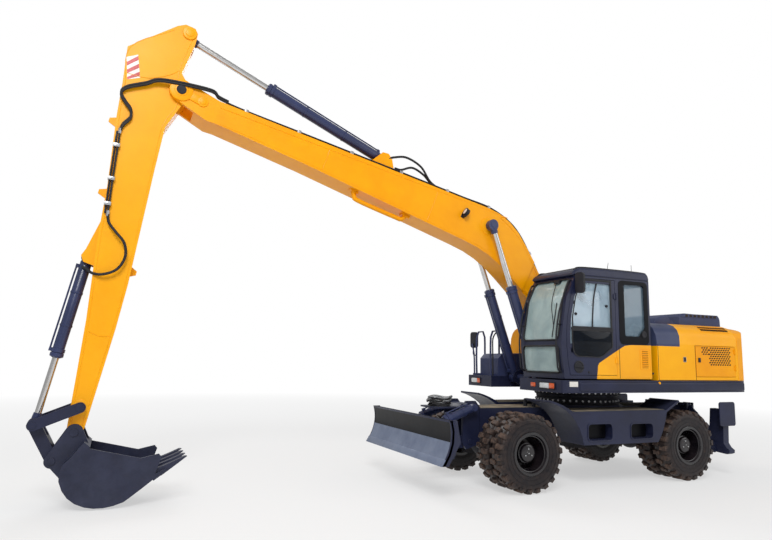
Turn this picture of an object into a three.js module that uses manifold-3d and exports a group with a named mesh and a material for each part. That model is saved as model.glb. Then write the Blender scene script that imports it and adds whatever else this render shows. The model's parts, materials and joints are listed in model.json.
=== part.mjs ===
// Wheeled excavator with a long two-piece digging arm. Millimetres, +X forward, +Y machine's left, +Z up.
// Everything is laid out about the slewing axis at ground level.
// The last lines centre the whole machine.
import * as THREE from 'three';
import { mergeVertices } from 'three/addons/utils/BufferGeometryUtils.js';
import Module from 'manifold-3d';

const wasm = await Module();
wasm.setup();

// ---- driving dimensions -------------------------------------------------------------------------------
const seatGap = 0.3;              // between fixed pieces that touch
const runGap = 8;                 // between pieces that move past each other
const pinGap = 1.5;               // round a pin in its bore

const wheelbase = 2968;
const frontAxleX = 1828;
const tyreDiameter = 1055;
const tyreWidth = 270;
const twinSpacing = 330;          // centre to centre of the two tyres of one wheel
const outerTyreY = 1085;
const beadRadius = 262;
const rimFlangeRadius = 285;
const kingpinY = 450;

const machineWidth = 2500;
const deckTopZ = 1510;
const deckThickness = 178;
const deckFrontX = 1307;
const deckRearX = -2680;
const frameHalfWidth = 300;
const frameBottomZ = 735;
const frameTopZ = 1060;
const boxInnerY = 640;            // where the frame's shelf ends and the tool boxes begin
const slewRadius = 650;

const boomPlaneY = -150;          // the digging gear sits right of the slewing axis, beside the cab
const boomLength = 7174;
const boomHalfWidth = 220;
const boomFootHalfWidth = 190;
const boomFootX = 130;
const boomFootZ = 1950;
const boomRestDeg = 27.03;
const boomCylinderHalfSpacing = 310;
const boomCylinderBase = [885, 1500];
const boomCylinderPin = [2314, 992];
const boomTopHump = [2442, 1258];  // where the boom's straight top edge begins
const boomTopEnd = [470, 176];     // back from the tip pin, and up: where that edge ends
const armCylinderSetback = 2879;   // from the tip pin back to the cylinder's base pin
const armCylinderRise = 181.4237;   // from the boom's top edge up to the cylinder's base pin

const armLength = 4459;
const armHalfWidth = 165;
const armRestDeg = -105.25;       // measured from the boom's own line
const armCylinderPin = [-835, 112];
const rockerPin = [4170, 19];
const bucketCylinderBase = [2430, 452];

const bucketRestDeg = -88.6;      // measured from the arm's own line
const bucketWidth = 780;
const bucketTipRadius = 1294;
const bucketLinkPin = [-133, 355];
const bucketEarGap = 8;
const rockerLength = 507;
const linkLength = 465;

const cabRightY = 250;
const cabLeftY = 1200;
const cabRearX = -430;
const cabTopZ = 3150;
const cabFloorZ = deckTopZ + 20;
const cabWall = 60;
const cabDoorThickness = 45;
const glassThickness = 8;

const bodyFrontX = -500;
const bodySeamX = -1300;
const bodyRearX = -2280;
const bodyTopZ = 2400;
const sheetThickness = 40;
const doorHingeStandOff = 10.5;    // hinge axis outside the body's side

const bladeX = 3110;
const bladeTopZ = 1000;
const bladeBottomZ = 438;
const bladePivot = [2220, 590];
const bladeCylinderBase = [2220, 1080];
const bladeCylinderY = 360;

const outriggerX = -2090;
const outriggerPivot = [900, 420];
const outriggerPad = [1130, 980];
const outriggerCylinderBase = [400, 1060];
const outriggerRodPin = [865, 617];
const outriggerLegHalf = 62;        // half of the leg's thickness, along the machine
const outriggerLug = 25;
const padGap = 6;
const padLug = 24;
const outriggerBeamTopZ = 520;

// ---- materials ----------------------------------------------------------------------------------------
function paint(hex, roughness, metalness) {
  return () => new THREE.MeshStandardMaterial({ color: hex, roughness, metalness });
}
const yellow = paint(0xf7a30a, 0.4, 0.1);
const darkGrey = paint(0x3a3b46, 0.5, 0.1);
const black = paint(0x1b1c20, 0.7, 0.0);
const rubber = paint(0x2a2826, 0.9, 0.0);
const chrome = paint(0xc9ccd0, 0.15, 1.0);
const steel = paint(0x55565a, 0.5, 0.8);
const glass = paint(0xb9d8d2, 0.05, 0.0);
const fabric = paint(0x26262a, 0.95, 0.0);

// ---- solids -------------------------------------------------------------------------------------------
function solid(geometry) {
  const plain = geometry.index ? geometry : geometry.clone();
  plain.deleteAttribute('normal');
  plain.deleteAttribute('uv');
  const merged = mergeVertices(plain, 1e-4);
  return new wasm.Manifold(new wasm.Mesh({
    numProp: 3,
    vertProperties: new Float32Array(merged.attributes.position.array),
    triVerts: new Uint32Array(merged.index.array),
  }));
}

function geometryOf(body) {
  const mesh = body.getMesh();
  const geometry = new THREE.BufferGeometry();
  geometry.setAttribute('position', new THREE.BufferAttribute(new Float32Array(mesh.vertProperties), 3));
  geometry.setIndex(new THREE.BufferAttribute(new Uint32Array(mesh.triVerts), 1));
  return geometry;
}

function join(...bodies) {
  return bodies.reduce((sum, body) => sum.add(body));
}

function cut(body, ...tools) {
  return tools.reduce((rest, tool) => rest.subtract(tool), body);
}

function box(x0, x1, y0, y1, z0, z1) {
  const geometry = new THREE.BoxGeometry(x1 - x0, y1 - y0, z1 - z0);
  geometry.translate((x0 + x1) / 2, (y0 + y1) / 2, (z0 + z1) / 2);
  return solid(geometry);
}

function outline(points) {
  return new THREE.Shape(points.map(([a, b]) => new THREE.Vector2(a, b)));
}

const extrudeSettings = (depth) => ({ depth, bevelEnabled: false, curveSegments: 4 });

// A side profile in X and Z, as thick as y0 to y1.
function sidePlate(shape, y0, y1) {
  const geometry = new THREE.ExtrudeGeometry(shape, extrudeSettings(y1 - y0));
  geometry.rotateX(Math.PI / 2);
  geometry.translate(0, y1, 0);
  return solid(geometry);
}

// A plan in X and Y, as thick as z0 to z1.
function planPlate(shape, z0, z1) {
  const geometry = new THREE.ExtrudeGeometry(shape, extrudeSettings(z1 - z0));
  geometry.translate(0, 0, z0);
  return solid(geometry);
}

// A cross-section in Y and Z, as long as x0 to x1.
function crossPlate(shape, x0, x1) {
  const geometry = new THREE.ExtrudeGeometry(shape, extrudeSettings(x1 - x0));
  geometry.applyMatrix4(new THREE.Matrix4().makeBasis(
    new THREE.Vector3(0, 1, 0), new THREE.Vector3(0, 0, 1), new THREE.Vector3(1, 0, 0)));
  geometry.translate(x0, 0, 0);
  return solid(geometry);
}

function rod(axis, radius, from, to, a = 0, b = 0, sides = 16) {
  const geometry = new THREE.CylinderGeometry(radius, radius, to - from, sides);
  const middle = (from + to) / 2;
  if (axis === 'x') {
    geometry.rotateZ(Math.PI / 2);
    geometry.translate(middle, a, b);
  } else if (axis === 'y') {
    geometry.translate(a, middle, b);
  } else {
    geometry.rotateX(Math.PI / 2);
    geometry.translate(a, b, middle);
  }
  return solid(geometry);
}

// A round bar between two points.
function bar(start, end, radius, sides = 10) {
  const from = new THREE.Vector3(...start);
  const span = new THREE.Vector3(...end).sub(from);
  const geometry = new THREE.CylinderGeometry(radius, radius, span.length(), sides);
  geometry.translate(0, span.length() / 2, 0);
  geometry.applyQuaternion(new THREE.Quaternion().setFromUnitVectors(
    new THREE.Vector3(0, 1, 0), span.clone().normalize()));
  geometry.translate(from.x, from.y, from.z);
  return solid(geometry);
}

function bentTube(points, radius, steps = 24) {
  const path = new THREE.CatmullRomCurve3(points.map((p) => new THREE.Vector3(...p)), false, 'centripetal');
  const ring = new THREE.Shape();
  ring.absarc(0, 0, radius, 0, Math.PI * 2, false);
  const geometry = new THREE.ExtrudeGeometry(ring, { steps, extrudePath: path, curveSegments: 4 });
  return solid(geometry);
}

function roundedRect(x0, x1, y0, y1, radius) {
  const shape = new THREE.Shape();
  shape.moveTo(x0 + radius, y0);
  shape.lineTo(x1 - radius, y0);
  shape.absarc(x1 - radius, y0 + radius, radius, -Math.PI / 2, 0, false);
  shape.lineTo(x1, y1 - radius);
  shape.absarc(x1 - radius, y1 - radius, radius, 0, Math.PI / 2, false);
  shape.lineTo(x0 + radius, y1);
  shape.absarc(x0 + radius, y1 - radius, radius, Math.PI / 2, Math.PI, false);
  shape.lineTo(x0, y0 + radius);
  shape.absarc(x0 + radius, y0 + radius, radius, Math.PI, Math.PI * 1.5, false);
  return shape;
}

// ---- scene helpers ------------------------------------------------------------------------------------
function piece(parent, name, body, finish) {
  const mesh = new THREE.Mesh(geometryOf(body), finish());
  mesh.name = name;
  parent.add(mesh);
  return mesh;
}

// A group whose own X axis points at an angle in the vertical plane, with its origin on a pin.
function pivot(parent, x, y, z, degrees = 0) {
  const group = new THREE.Group();
  group.position.set(x, y, z);
  group.rotation.y = THREE.MathUtils.degToRad(-degrees);
  parent.add(group);
  return group;
}

function turn([a, b], degrees) {
  const angle = THREE.MathUtils.degToRad(degrees);
  return [a * Math.cos(angle) - b * Math.sin(angle), a * Math.sin(angle) + b * Math.cos(angle)];
}

function headingDeg([ax, az], [bx, bz]) {
  return THREE.MathUtils.radToDeg(Math.atan2(bz - az, bx - ax));
}

function distance([ax, az], [bx, bz]) {
  return Math.hypot(bx - ax, bz - az);
}

const machine = new THREE.Group();

// ---- hydraulic cylinders ------------------------------------------------------------------------------
// Both solids lie along +X from the base pin. The rod's eye is left without its pin, so that it can drift.
function cylinderBarrel(spec) {
  const glandLength = 70;
  const boreStart = spec.eyeRadius + 45;
  const tube = rod('x', spec.barrelRadius, spec.eyeRadius * 0.6, spec.barrelLength, 0, 0);
  const gland = rod('x', spec.barrelRadius + 10, spec.barrelLength - glandLength, spec.barrelLength, 0, 0);
  const eye = rod('y', spec.eyeRadius, -spec.eyeWidth / 2, spec.eyeWidth / 2, 0, 0);
  const bore = rod('x', spec.rodRadius + 2, boreStart, spec.barrelLength + 10, 0, 0, 12);
  return cut(join(tube, gland, eye), bore);
}

function cylinderRod(spec) {
  const inside = spec.eyeRadius + 45 + spec.strokeIn + 25;
  const shaft = rod('x', spec.rodRadius, inside, spec.restLength - spec.rodEyeRadius * 0.6, 0, 0, 12);
  const eye = rod('y', spec.rodEyeRadius, -spec.rodEyeWidth / 2, spec.rodEyeWidth / 2, spec.restLength, 0);
  const hole = rod('y', spec.pinRadius + pinGap, -spec.rodEyeWidth, spec.rodEyeWidth, spec.restLength,
    0, 12);
  return cut(join(shaft, eye), hole);
}

// ---- undercarriage frame ------------------------------------------------------------------------------
function chassisFrame() {
  const bracketFrontX = bladePivot[0] + 130;
  const bracketInnerY = 240;
  const bracketOuterY = 280;
  const beamFrontX = frontAxleX + 240;
  const beamRearX = outriggerX - 110;
  const spine = box(beamRearX, beamFrontX, -frameHalfWidth, frameHalfWidth, frameBottomZ, frameTopZ);
  const turret = rod('z', slewRadius + 60, frameBottomZ + 60, frameTopZ + 40, 0, 0, 24)
    .intersect(box(-slewRadius - 80, slewRadius + 80, -boxInnerY, boxInnerY, frameBottomZ, frameTopZ + 50));
  const apron = outline([[beamFrontX - 30, 560], [bracketFrontX - 60, 480], [bracketFrontX, 560],
    [bracketFrontX, 1080], [bracketFrontX - 60, 1170], [beamFrontX + 60, 1170],
    [beamFrontX - 30, frameTopZ]]);
  const brackets = [-1, 1].map((side) => {
    const inner = side * bracketInnerY;
    const outer = side * bracketOuterY;
    return sidePlate(apron, Math.min(inner, outer), Math.max(inner, outer));
  });
  const noseplate = box(beamFrontX - 60, beamFrontX, -frameHalfWidth, frameHalfWidth, 640, frameTopZ);
  const [legY, legZ] = outriggerPivot;
  const lugInner = outriggerLegHalf + runGap;
  const lugOuter = lugInner + outriggerLug;
  const rearBeam = join(
    box(outriggerX - lugOuter, outriggerX + lugOuter, -legY + 100, legY - 100, legZ - 10, outriggerBeamTopZ),
    box(outriggerX - 110, outriggerX + 110, -frameHalfWidth - 60, frameHalfWidth + 60, legZ + 20,
      frameBottomZ + 20),
  );
  const lowerLugs = [-1, 1].flatMap((side) => [-lugOuter, lugInner].map((offset) => box(
    outriggerX + offset, outriggerX + offset + outriggerLug,
    Math.min(side * (legY - 150), side * (legY + 60)),
    Math.max(side * (legY - 150), side * (legY + 60)), legZ - 65, outriggerBeamTopZ)));
  const [baseY, baseZ] = outriggerCylinderBase;
  const upperLugs = [-1, 1].flatMap((side) => [-80, 55].map((offset) => box(outriggerX + offset,
    outriggerX + offset + 25, Math.min(side * (frameHalfWidth - 40), side * (baseY + 55)),
    Math.max(side * (frameHalfWidth - 40), side * (baseY + 55)), frameTopZ - 200, baseZ + 50)));
  const sideShelf = box(-620, 900, -boxInnerY, boxInnerY, frameTopZ - 60, frameTopZ - 20);
  const bores = join(
    rod('y', 30 + pinGap, -300, 300, bladeCylinderBase[0], bladeCylinderBase[1], 12),
    rod('y', 40 + pinGap, -300, 300, bladePivot[0], bladePivot[1], 12),
  );
  const pinBores = [-1, 1].map((side) => join(
    rod('x', 30 + pinGap, outriggerX - lugOuter - 25, outriggerX + lugOuter + 25, side * legY, legZ, 12),
    rod('x', 25 + pinGap, outriggerX - 120, outriggerX + 120, side * baseY, baseZ, 12),
  ));
  return cut(join(spine, turret, ...brackets, noseplate, rearBeam, ...lowerLugs, ...upperLugs, sideShelf),
    bores, ...pinBores);
}

// The lower race of the slewing ring is bolted to the frame, and stops just below the platform.
function slewRing() {
  const topZ = deckTopZ - deckThickness - runGap;
  const low = rod('z', slewRadius - 30, frameTopZ + 30, topZ - 60, 0, 0, 24);
  const high = rod('z', slewRadius, topZ - 90, topZ, 0, 0, 24);
  const hole = rod('z', slewRadius - 130, frameTopZ + 40, deckTopZ, 0, 0, 24);
  return cut(join(low, high), hole);
}

piece(machine, 'chassis_frame', join(chassisFrame(), slewRing()), darkGrey);

// ---- tool boxes with their wheel guards ---------------------------------------------------------------
const stepPockets = [[400, 842, 663, 893], [-393, 40, 663, 880]];
const pocketDepth = 150;
const pocketCorner = 55;

function toolBox(side) {
  const innerY = boxInnerY + seatGap;
  const outerY = machineWidth / 2 - 50;
  const boxTopZ = frameTopZ + 10;
  const shape = new THREE.Shape();
  shape.moveTo(-500, 600);
  shape.lineTo(920, 605);
  shape.quadraticCurveTo(960, 860, 1140, 1030);
  shape.quadraticCurveTo(1300, 1160, 1500, 1205);
  shape.lineTo(1494, 1232);
  shape.quadraticCurveTo(1270, 1180, 1100, boxTopZ);
  shape.lineTo(-690, boxTopZ);
  shape.lineTo(-960, 1215);
  shape.lineTo(-980, 1190);
  shape.lineTo(-700, 1035);
  shape.quadraticCurveTo(-640, 760, -500, 600);
  const low = Math.min(side * innerY, side * outerY);
  const pocketLow = Math.min(side * (outerY - pocketDepth), side * (outerY + 10));
  const pockets = stepPockets.map(([x0, x1, z0, z1]) => sidePlate(roundedRect(x0, x1, z0, z1, pocketCorner),
    pocketLow, pocketLow + pocketDepth + 10));
  return cut(sidePlate(shape, low, low + outerY - innerY), ...pockets);
}
piece(machine, 'left_tool_box', toolBox(1), darkGrey);
piece(machine, 'right_tool_box', toolBox(-1), darkGrey);

// ---- axles, knuckles and drive line -------------------------------------------------------------------
const axleZ = tyreDiameter / 2;
const rearAxleX = frontAxleX - wheelbase;
const hubEndY = outerTyreY - twinSpacing / 2 - 20;
const diffRadius = 195;

function diffHousing(x) {
  const ball = new THREE.SphereGeometry(diffRadius, 20, 12);
  ball.translate(x, 0, axleZ);
  const pads = [-1, 1].map((side) => box(x - 90, x + 90, side * 220 - 60, side * 220 + 60,
    axleZ, frameBottomZ - seatGap));
  return join(solid(ball), ...pads);
}

function frontAxle() {
  const beamEnd = kingpinY - 115;
  const beam = rod('y', 95, -beamEnd, beamEnd, frontAxleX, axleZ);
  const forks = [-1, 1].map((side) => {
    const y0 = side > 0 ? beamEnd - 20 : -kingpinY - 60;
    const y1 = side > 0 ? kingpinY + 60 : -beamEnd + 20;
    const block = box(frontAxleX - 70, frontAxleX + 70, y0, y1, axleZ - 200, axleZ + 200);
    const room = box(frontAxleX - 80, frontAxleX + 80, side > 0 ? kingpinY - 100 : -kingpinY - 100,
      side > 0 ? kingpinY + 100 : -kingpinY + 100, axleZ - 150 - runGap, axleZ + 150 + runGap);
    const bore = rod('z', 40 + pinGap, axleZ - 210, axleZ + 210, frontAxleX, side * kingpinY, 12);
    return cut(block, room, bore);
  });
  return join(diffHousing(frontAxleX), beam, ...forks);
}

function rearAxle() {
  const beam = rod('y', 95, -hubEndY, hubEndY, rearAxleX, axleZ);
  return join(diffHousing(rearAxleX), beam);
}

piece(machine, 'front_axle', frontAxle(), darkGrey);
piece(machine, 'rear_axle', rearAxle(), darkGrey);

function driveLine() {
  const gearbox = box(-230, 230, -170, 170, 400, frameBottomZ - seatGap);
  const front = rod('x', 42, 200, frontAxleX - diffRadius - 3, 0, axleZ, 12);
  const rear = rod('x', 42, rearAxleX + diffRadius + 3, -200, 0, axleZ, 12);
  return join(gearbox, front, rear);
}
piece(machine, 'drive_line', driveLine(), darkGrey);

// A knuckle turns on its kingpin between the axle's fork ears and carries the wheel on its spindle.
const steerArmLength = 240;

function knuckle(side) {
  const post = rod('z', 85, -150, 150, 0, 0);
  const pin = rod('z', 40, -200, 200, 0, 0, 12);
  const spindleLength = hubEndY - kingpinY;
  const spindle = rod('y', 100, side > 0 ? 0 : -spindleLength, side > 0 ? spindleLength : 0, 0, 0);
  const arm = box(-steerArmLength - 40, 0, -35, 35, -128, -96);
  return join(post, pin, spindle, arm);
}

function tieRod() {
  const z = axleZ - 72;
  const x = frontAxleX - steerArmLength;
  const eyes = [-1, 1].map((side) => rod('z', 32, z - 12, z + 12, x, side * kingpinY, 12));
  return join(rod('y', 18, -kingpinY, kingpinY, x, z, 12), ...eyes);
}

const knuckles = {};
for (const [name, side] of [['left', 1], ['right', -1]]) {
  const group = new THREE.Group();
  group.position.set(frontAxleX, side * kingpinY, axleZ);
  group.name = `${name}_kingpin`;
  machine.add(group);
  piece(group, `${name}_knuckle`, knuckle(side), darkGrey);
  knuckles[name] = group;
}
piece(machine, 'tie_rod', tieRod(), darkGrey);

// ---- wheels -------------------------------------------------------------------------------------------
const tyreRadius = tyreDiameter / 2;
const beadHalfWidth = tyreWidth / 2 - 20;

function lathe(profile, sides = 28) {
  const points = profile.map(([radius, along]) => new THREE.Vector2(radius, along));
  return solid(new THREE.LatheGeometry(points, sides));
}

// The twin tyres and the spacer ring between them turn about Y. Their middle is at the origin.
function twinTyres() {
  const half = tyreWidth / 2;
  const offset = twinSpacing / 2;
  const ringRadius = beadRadius + 28;
  const outerSide = (sign) => [
    [beadRadius, sign * (offset + beadHalfWidth)],
    [beadRadius + 115, sign * (offset + half)],
    [tyreRadius - 30, sign * (offset + half - 8)],
    [tyreRadius, sign * (offset + half - 36)],
    [tyreRadius, sign * (offset - half + 36)],
    [tyreRadius - 30, sign * (offset - half + 8)],
    [beadRadius + 115, sign * (offset - half)],
    [ringRadius + 14, sign * (offset - beadHalfWidth - 3)],
  ];
  return lathe([
    ...outerSide(-1),
    ...outerSide(1).reverse(),
    [beadRadius, offset - beadHalfWidth],
    [ringRadius, offset - beadHalfWidth - 1],
    [ringRadius, -offset + beadHalfWidth + 1],
    [beadRadius, -offset + beadHalfWidth],
    [beadRadius, -offset - beadHalfWidth],
  ], 24);
}

// Two rims on one disc, with the planetary hub standing out of the disc towards +Y.
function twinRim() {
  const barrelRadius = beadRadius - seatGap;
  const innerRadius = barrelRadius - 22;
  const half = beadHalfWidth + 14;
  const lip = beadHalfWidth + 6;
  const offset = twinSpacing / 2;
  return lathe([
    [0, -12],
    [innerRadius, -12],
    [innerRadius, -offset - half],
    [rimFlangeRadius, -offset - half],
    [rimFlangeRadius, -offset - lip],
    [barrelRadius, -offset - lip],
    [barrelRadius, -offset + lip],
    [rimFlangeRadius, -offset + half],
    [rimFlangeRadius, offset - half],
    [barrelRadius, offset - lip],
    [barrelRadius, offset + lip],
    [rimFlangeRadius, offset + lip],
    [rimFlangeRadius, offset + half],
    [innerRadius, offset + half],
    [innerRadius, 16],
    [150, 16],
    [150, 180],
    [110, 190],
    [110, 215],
    [0, 215],
  ], 24);
}

function wheel(parent, name, x, y, z, side) {
  const group = new THREE.Group();
  group.position.set(x, y, z);
  group.rotation.z = side > 0 ? 0 : Math.PI;
  group.name = `${name}_spin`;
  parent.add(group);
  piece(group, `${name}_tyres`, twinTyres(), rubber);
  piece(group, `${name}_rim`, twinRim(), darkGrey);
}

const wheelMiddleY = outerTyreY - twinSpacing / 2;
for (const [name, side] of [['left', 1], ['right', -1]]) {
  wheel(knuckles[name], `front_${name}`, 0, side * (wheelMiddleY - kingpinY), 0, side);
  wheel(machine, `rear_${name}`, rearAxleX, side * wheelMiddleY, axleZ, side);
}

// ---- dozer blade --------------------------------------------------------------------------------------
const bladeRodPin = [bladeX - 130, 800];
const bladeRest = {
  eyeRadius: 55, eyeWidth: 70, barrelRadius: 62, rodRadius: 34, rodEyeRadius: 45, rodEyeWidth: 60,
  pinRadius: 30, barrelLength: 520, strokeIn: 40, restLength: distance(bladeCylinderBase, bladeRodPin),
};

function dozerBlade() {
  const [px, pz] = bladePivot;
  const local = (points) => outline(points.map(([x, z]) => [x - px, z - pz]));
  const board = new THREE.Shape();
  board.moveTo(bladeX + 110 - px, bladeBottomZ - pz);
  board.quadraticCurveTo(bladeX - 90 - px, (bladeBottomZ + bladeTopZ) / 2 - pz, bladeX - px, bladeTopZ - pz);
  board.lineTo(bladeX - 30 - px, bladeTopZ - pz);
  board.quadraticCurveTo(bladeX - 125 - px, (bladeBottomZ + bladeTopZ) / 2 - pz, bladeX + 70 - px,
    bladeBottomZ - pz);
  const mouldboard = sidePlate(board, -machineWidth / 2, machineWidth / 2);
  const armShape = local([[px - 70, pz - 60], [px + 60, pz - 90], [bladeX + 40, bladeBottomZ + 20],
    [bladeX - 20, 690], [px + 120, pz + 80], [px - 40, pz + 70]]);
  const arms = [-1, 1].map((side) => sidePlate(armShape, side > 0 ? 175 : -232, side > 0 ? 232 : -175));
  const ribShape = local([[bladeX - 150, 500], [bladeX + 50, 497], [bladeX + 9, 578], [bladeX - 35, 719],
    [bladeX - 43, 859], [bladeX - 27, 950], [bladeX - 60, 960], [bladeX - 150, 720]]);
  const ribs = [-1100, -650, 620, 1070].map((y) => sidePlate(ribShape, y, y + 30));
  const spine = box(bladeX - 150 - px, bladeX - px - 20, -1130, 1130, 540 - pz, 640 - pz);
  const [ex, ez] = bladeRodPin;
  const earShape = local([[ex - 60, ez - 60], [bladeX - 28, ez - 130], [bladeX - 40, ez + 90],
    [ex - 30, ez + 60]]);
  const ears = [-1, 1].map((side) => {
    const from = bladeCylinderY + 30 + runGap;
    return sidePlate(earShape, side > 0 ? from : -from - 25, side > 0 ? from + 25 : -from);
  });
  const crossPin = rod('y', 40, -235, 235, 0, 0, 12);
  const pinHeads = [-1, 1].map((side) => rod('y', 40, side > 0 ? 230 : -292, side > 0 ? 292 : -230, 0,
    0, 12));
  return join(mouldboard, ...arms, ...ribs, spine, ...ears, crossPin, ...pinHeads);
}

const bladeGroup = pivot(machine, bladePivot[0], 0, bladePivot[1]);
bladeGroup.name = 'blade_pivot';
piece(bladeGroup, 'dozer_blade', dozerBlade(), darkGrey);

const bladeCylinderGroup = pivot(machine, bladeCylinderBase[0], 0, bladeCylinderBase[1],
  headingDeg(bladeCylinderBase, bladeRodPin));
bladeCylinderGroup.name = 'blade_cylinder_pivot';

function pairOf(body, spacing) {
  return [-1, 1].map((side) => body.translate([0, side * spacing, 0]));
}
piece(bladeCylinderGroup, 'blade_cylinder_barrels', join(
  ...pairOf(cylinderBarrel(bladeRest), bladeCylinderY),
  rod('y', 30, -bladeCylinderY, bladeCylinderY, 0, 0, 12),
), black);
piece(bladeCylinderGroup, 'blade_cylinder_rods', join(
  ...pairOf(cylinderRod(bladeRest), bladeCylinderY),
  rod('y', 22, -bladeCylinderY + 20, bladeCylinderY - 20, bladeRest.restLength - 75, 0, 12),
), chrome);

// ---- outriggers ---------------------------------------------------------------------------------------

// The leg stands upright on its low pin, with a foot that turns out under the pad.
function outriggerLeg(side) {
  const [hy, hz] = outriggerPivot;
  const [py, pz] = outriggerPad;
  const [ry, rz] = [outriggerRodPin[0] - hy, outriggerRodPin[1] - hz];
  const half = outriggerLegHalf;
  const shape = outline([[-50, -48], [250, -70], [300, -48], [305, 0], [250, 35], [205, 100],
    [py - hy - 12, pz - hz - 180], [py - hy - 10, pz - hz + 40], [py - hy - 50, pz - hz + 70],
    [-15, pz - hz + 75], [-60, rz - 57]]);
  const leg = crossPlate(shape, -half, half);
  const slot = box(-35, 35, ry - 120, ry + 125, rz - 108, rz + 200);
  const pinHalf = half + runGap + outriggerLug + 5;
  const pin = rod('x', 30, -pinHalf, pinHalf, 0, 0, 12);
  const padNotch = box(-200, 200, py - hy - 45, py - hy + 100, pz - hz - 60, pz - hz + 60);
  const body = join(cut(leg, slot, padNotch), pin);
  return side > 0 ? body : body.mirror([0, 1, 0]);
}

function outriggerPadPlate(side) {
  const plate = planPlate(roundedRect(-180, 180, -190, 190, 40), 0, 22);
  const upright = plate.rotate([-90, 0, 0]);
  const lugInner = outriggerLegHalf + padGap;
  const lugs = join(...[-lugInner - padLug, lugInner].map((x) => box(x, x + padLug, -40, 12, -60, 60)));
  const body = join(upright.translate([0, 8, 0]), lugs);
  return side > 0 ? body : body.mirror([0, 1, 0]);
}

const outriggerSpec = {
  eyeRadius: 45, eyeWidth: 60, barrelRadius: 48, rodRadius: 28, rodEyeRadius: 38, rodEyeWidth: 50,
  pinRadius: 25, barrelLength: 525, strokeIn: 10,
  restLength: distance(outriggerCylinderBase, outriggerRodPin),
};

for (const [name, side] of [['left', 1], ['right', -1]]) {
  const legGroup = new THREE.Group();
  legGroup.position.set(outriggerX, side * outriggerPivot[0], outriggerPivot[1]);
  legGroup.name = `${name}_outrigger_pivot`;
  machine.add(legGroup);
  piece(legGroup, `${name}_outrigger_leg`, outriggerLeg(side), darkGrey);

  const padGroup = new THREE.Group();
  padGroup.position.set(0, side * (outriggerPad[0] - outriggerPivot[0]),
    outriggerPad[1] - outriggerPivot[1]);
  padGroup.name = `${name}_outrigger_pad_pivot`;
  legGroup.add(padGroup);
  piece(padGroup, `${name}_outrigger_pad`, outriggerPadPlate(side), darkGrey);

  const heading = THREE.MathUtils.degToRad(headingDeg(outriggerCylinderBase, outriggerRodPin));
  const cylinderGroup = new THREE.Group();
  cylinderGroup.position.set(outriggerX, side * outriggerCylinderBase[0], outriggerCylinderBase[1]);
  cylinderGroup.rotation.order = 'XYZ';
  cylinderGroup.rotation.set(side * heading, 0, side * Math.PI / 2);
  cylinderGroup.name = `${name}_outrigger_cylinder_pivot`;
  machine.add(cylinderGroup);
  const basePin = rod('y', 25, -82, 82, 0, 0, 12);
  piece(cylinderGroup, `${name}_outrigger_barrel`, join(cylinderBarrel(outriggerSpec), basePin), black);
  piece(cylinderGroup, `${name}_outrigger_rod`, cylinderRod(outriggerSpec), chrome);
}

// ---- slewing platform ---------------------------------------------------------------------------------
const slew = new THREE.Group();
slew.name = 'slew';
machine.add(slew);

const notchHalf = 392;
const footPlateInner = boomFootHalfWidth + runGap;
const footPlateOuter = footPlateInner + 25;
const deckBottomZ = deckTopZ - deckThickness;
const halfWidth = machineWidth / 2;

function upperPlatform() {
  const tail = 430;
  const plan = new THREE.Shape();
  plan.moveTo(deckFrontX, -halfWidth);
  plan.lineTo(deckFrontX, boomPlaneY - notchHalf);
  plan.lineTo(620, boomPlaneY - notchHalf);
  plan.lineTo(620, boomPlaneY + notchHalf);
  plan.lineTo(deckFrontX, boomPlaneY + notchHalf);
  plan.lineTo(deckFrontX, halfWidth - 60);
  plan.quadraticCurveTo(deckFrontX, halfWidth, deckFrontX - 60, halfWidth);
  plan.lineTo(deckRearX + tail, halfWidth);
  plan.quadraticCurveTo(deckRearX + 20, halfWidth, deckRearX + 12, 780);
  plan.quadraticCurveTo(deckRearX, 300, deckRearX, 0);
  plan.quadraticCurveTo(deckRearX, -300, deckRearX + 12, -780);
  plan.quadraticCurveTo(deckRearX + 20, -halfWidth, deckRearX + tail, -halfWidth);
  const deck = planPlate(plan, deckBottomZ, deckTopZ);
  const [bx, bz] = boomCylinderBase;
  const footShape = new THREE.Shape();
  footShape.moveTo(-900, deckTopZ - 10);
  footShape.lineTo(-60, boomFootZ + 60);
  footShape.absarc(boomFootX, boomFootZ, 165, Math.PI * 0.8, Math.PI * 0.1, true);
  footShape.lineTo(560, 1700);
  footShape.lineTo(bx + 20, bz + 110);
  footShape.absarc(bx, bz, 112, Math.PI / 2, -Math.PI / 2, true);
  footShape.lineTo(500, deckBottomZ);
  footShape.lineTo(-900, deckBottomZ);
  const feet = [
    sidePlate(footShape, boomPlaneY + footPlateInner, boomPlaneY + footPlateOuter),
    sidePlate(footShape, boomPlaneY - footPlateOuter, boomPlaneY - footPlateInner),
  ];
  const bores = join(
    rod('y', 55 + pinGap, boomPlaneY - 300, boomPlaneY + 300, boomFootX, boomFootZ),
    rod('y', 50 + pinGap, boomPlaneY - 300, boomPlaneY + 300, bx, bz),
  );
  const relief = rod('y', 190, boomPlaneY - footPlateInner, boomPlaneY + footPlateInner, boomFootX,
    boomFootZ);
  return cut(join(deck, ...feet), bores, relief);
}
piece(slew, 'upper_platform', upperPlatform(), darkGrey);

// ---- rear body, counterweight, engine -----------------------------------------------------------------
function bodySection(inset) {
  const half = halfWidth - inset;
  const top = bodyTopZ - inset;
  const low = deckTopZ + seatGap + (inset > 0 ? -1 : 0);
  const shape = new THREE.Shape();
  shape.moveTo(-half, low);
  shape.lineTo(half, low);
  shape.lineTo(half, top - 330);
  shape.quadraticCurveTo(half, top - 40, half - 260, top);
  shape.lineTo(-half + 260, top);
  shape.quadraticCurveTo(-half, top - 40, -half, top - 330);
  return shape;
}

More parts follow.
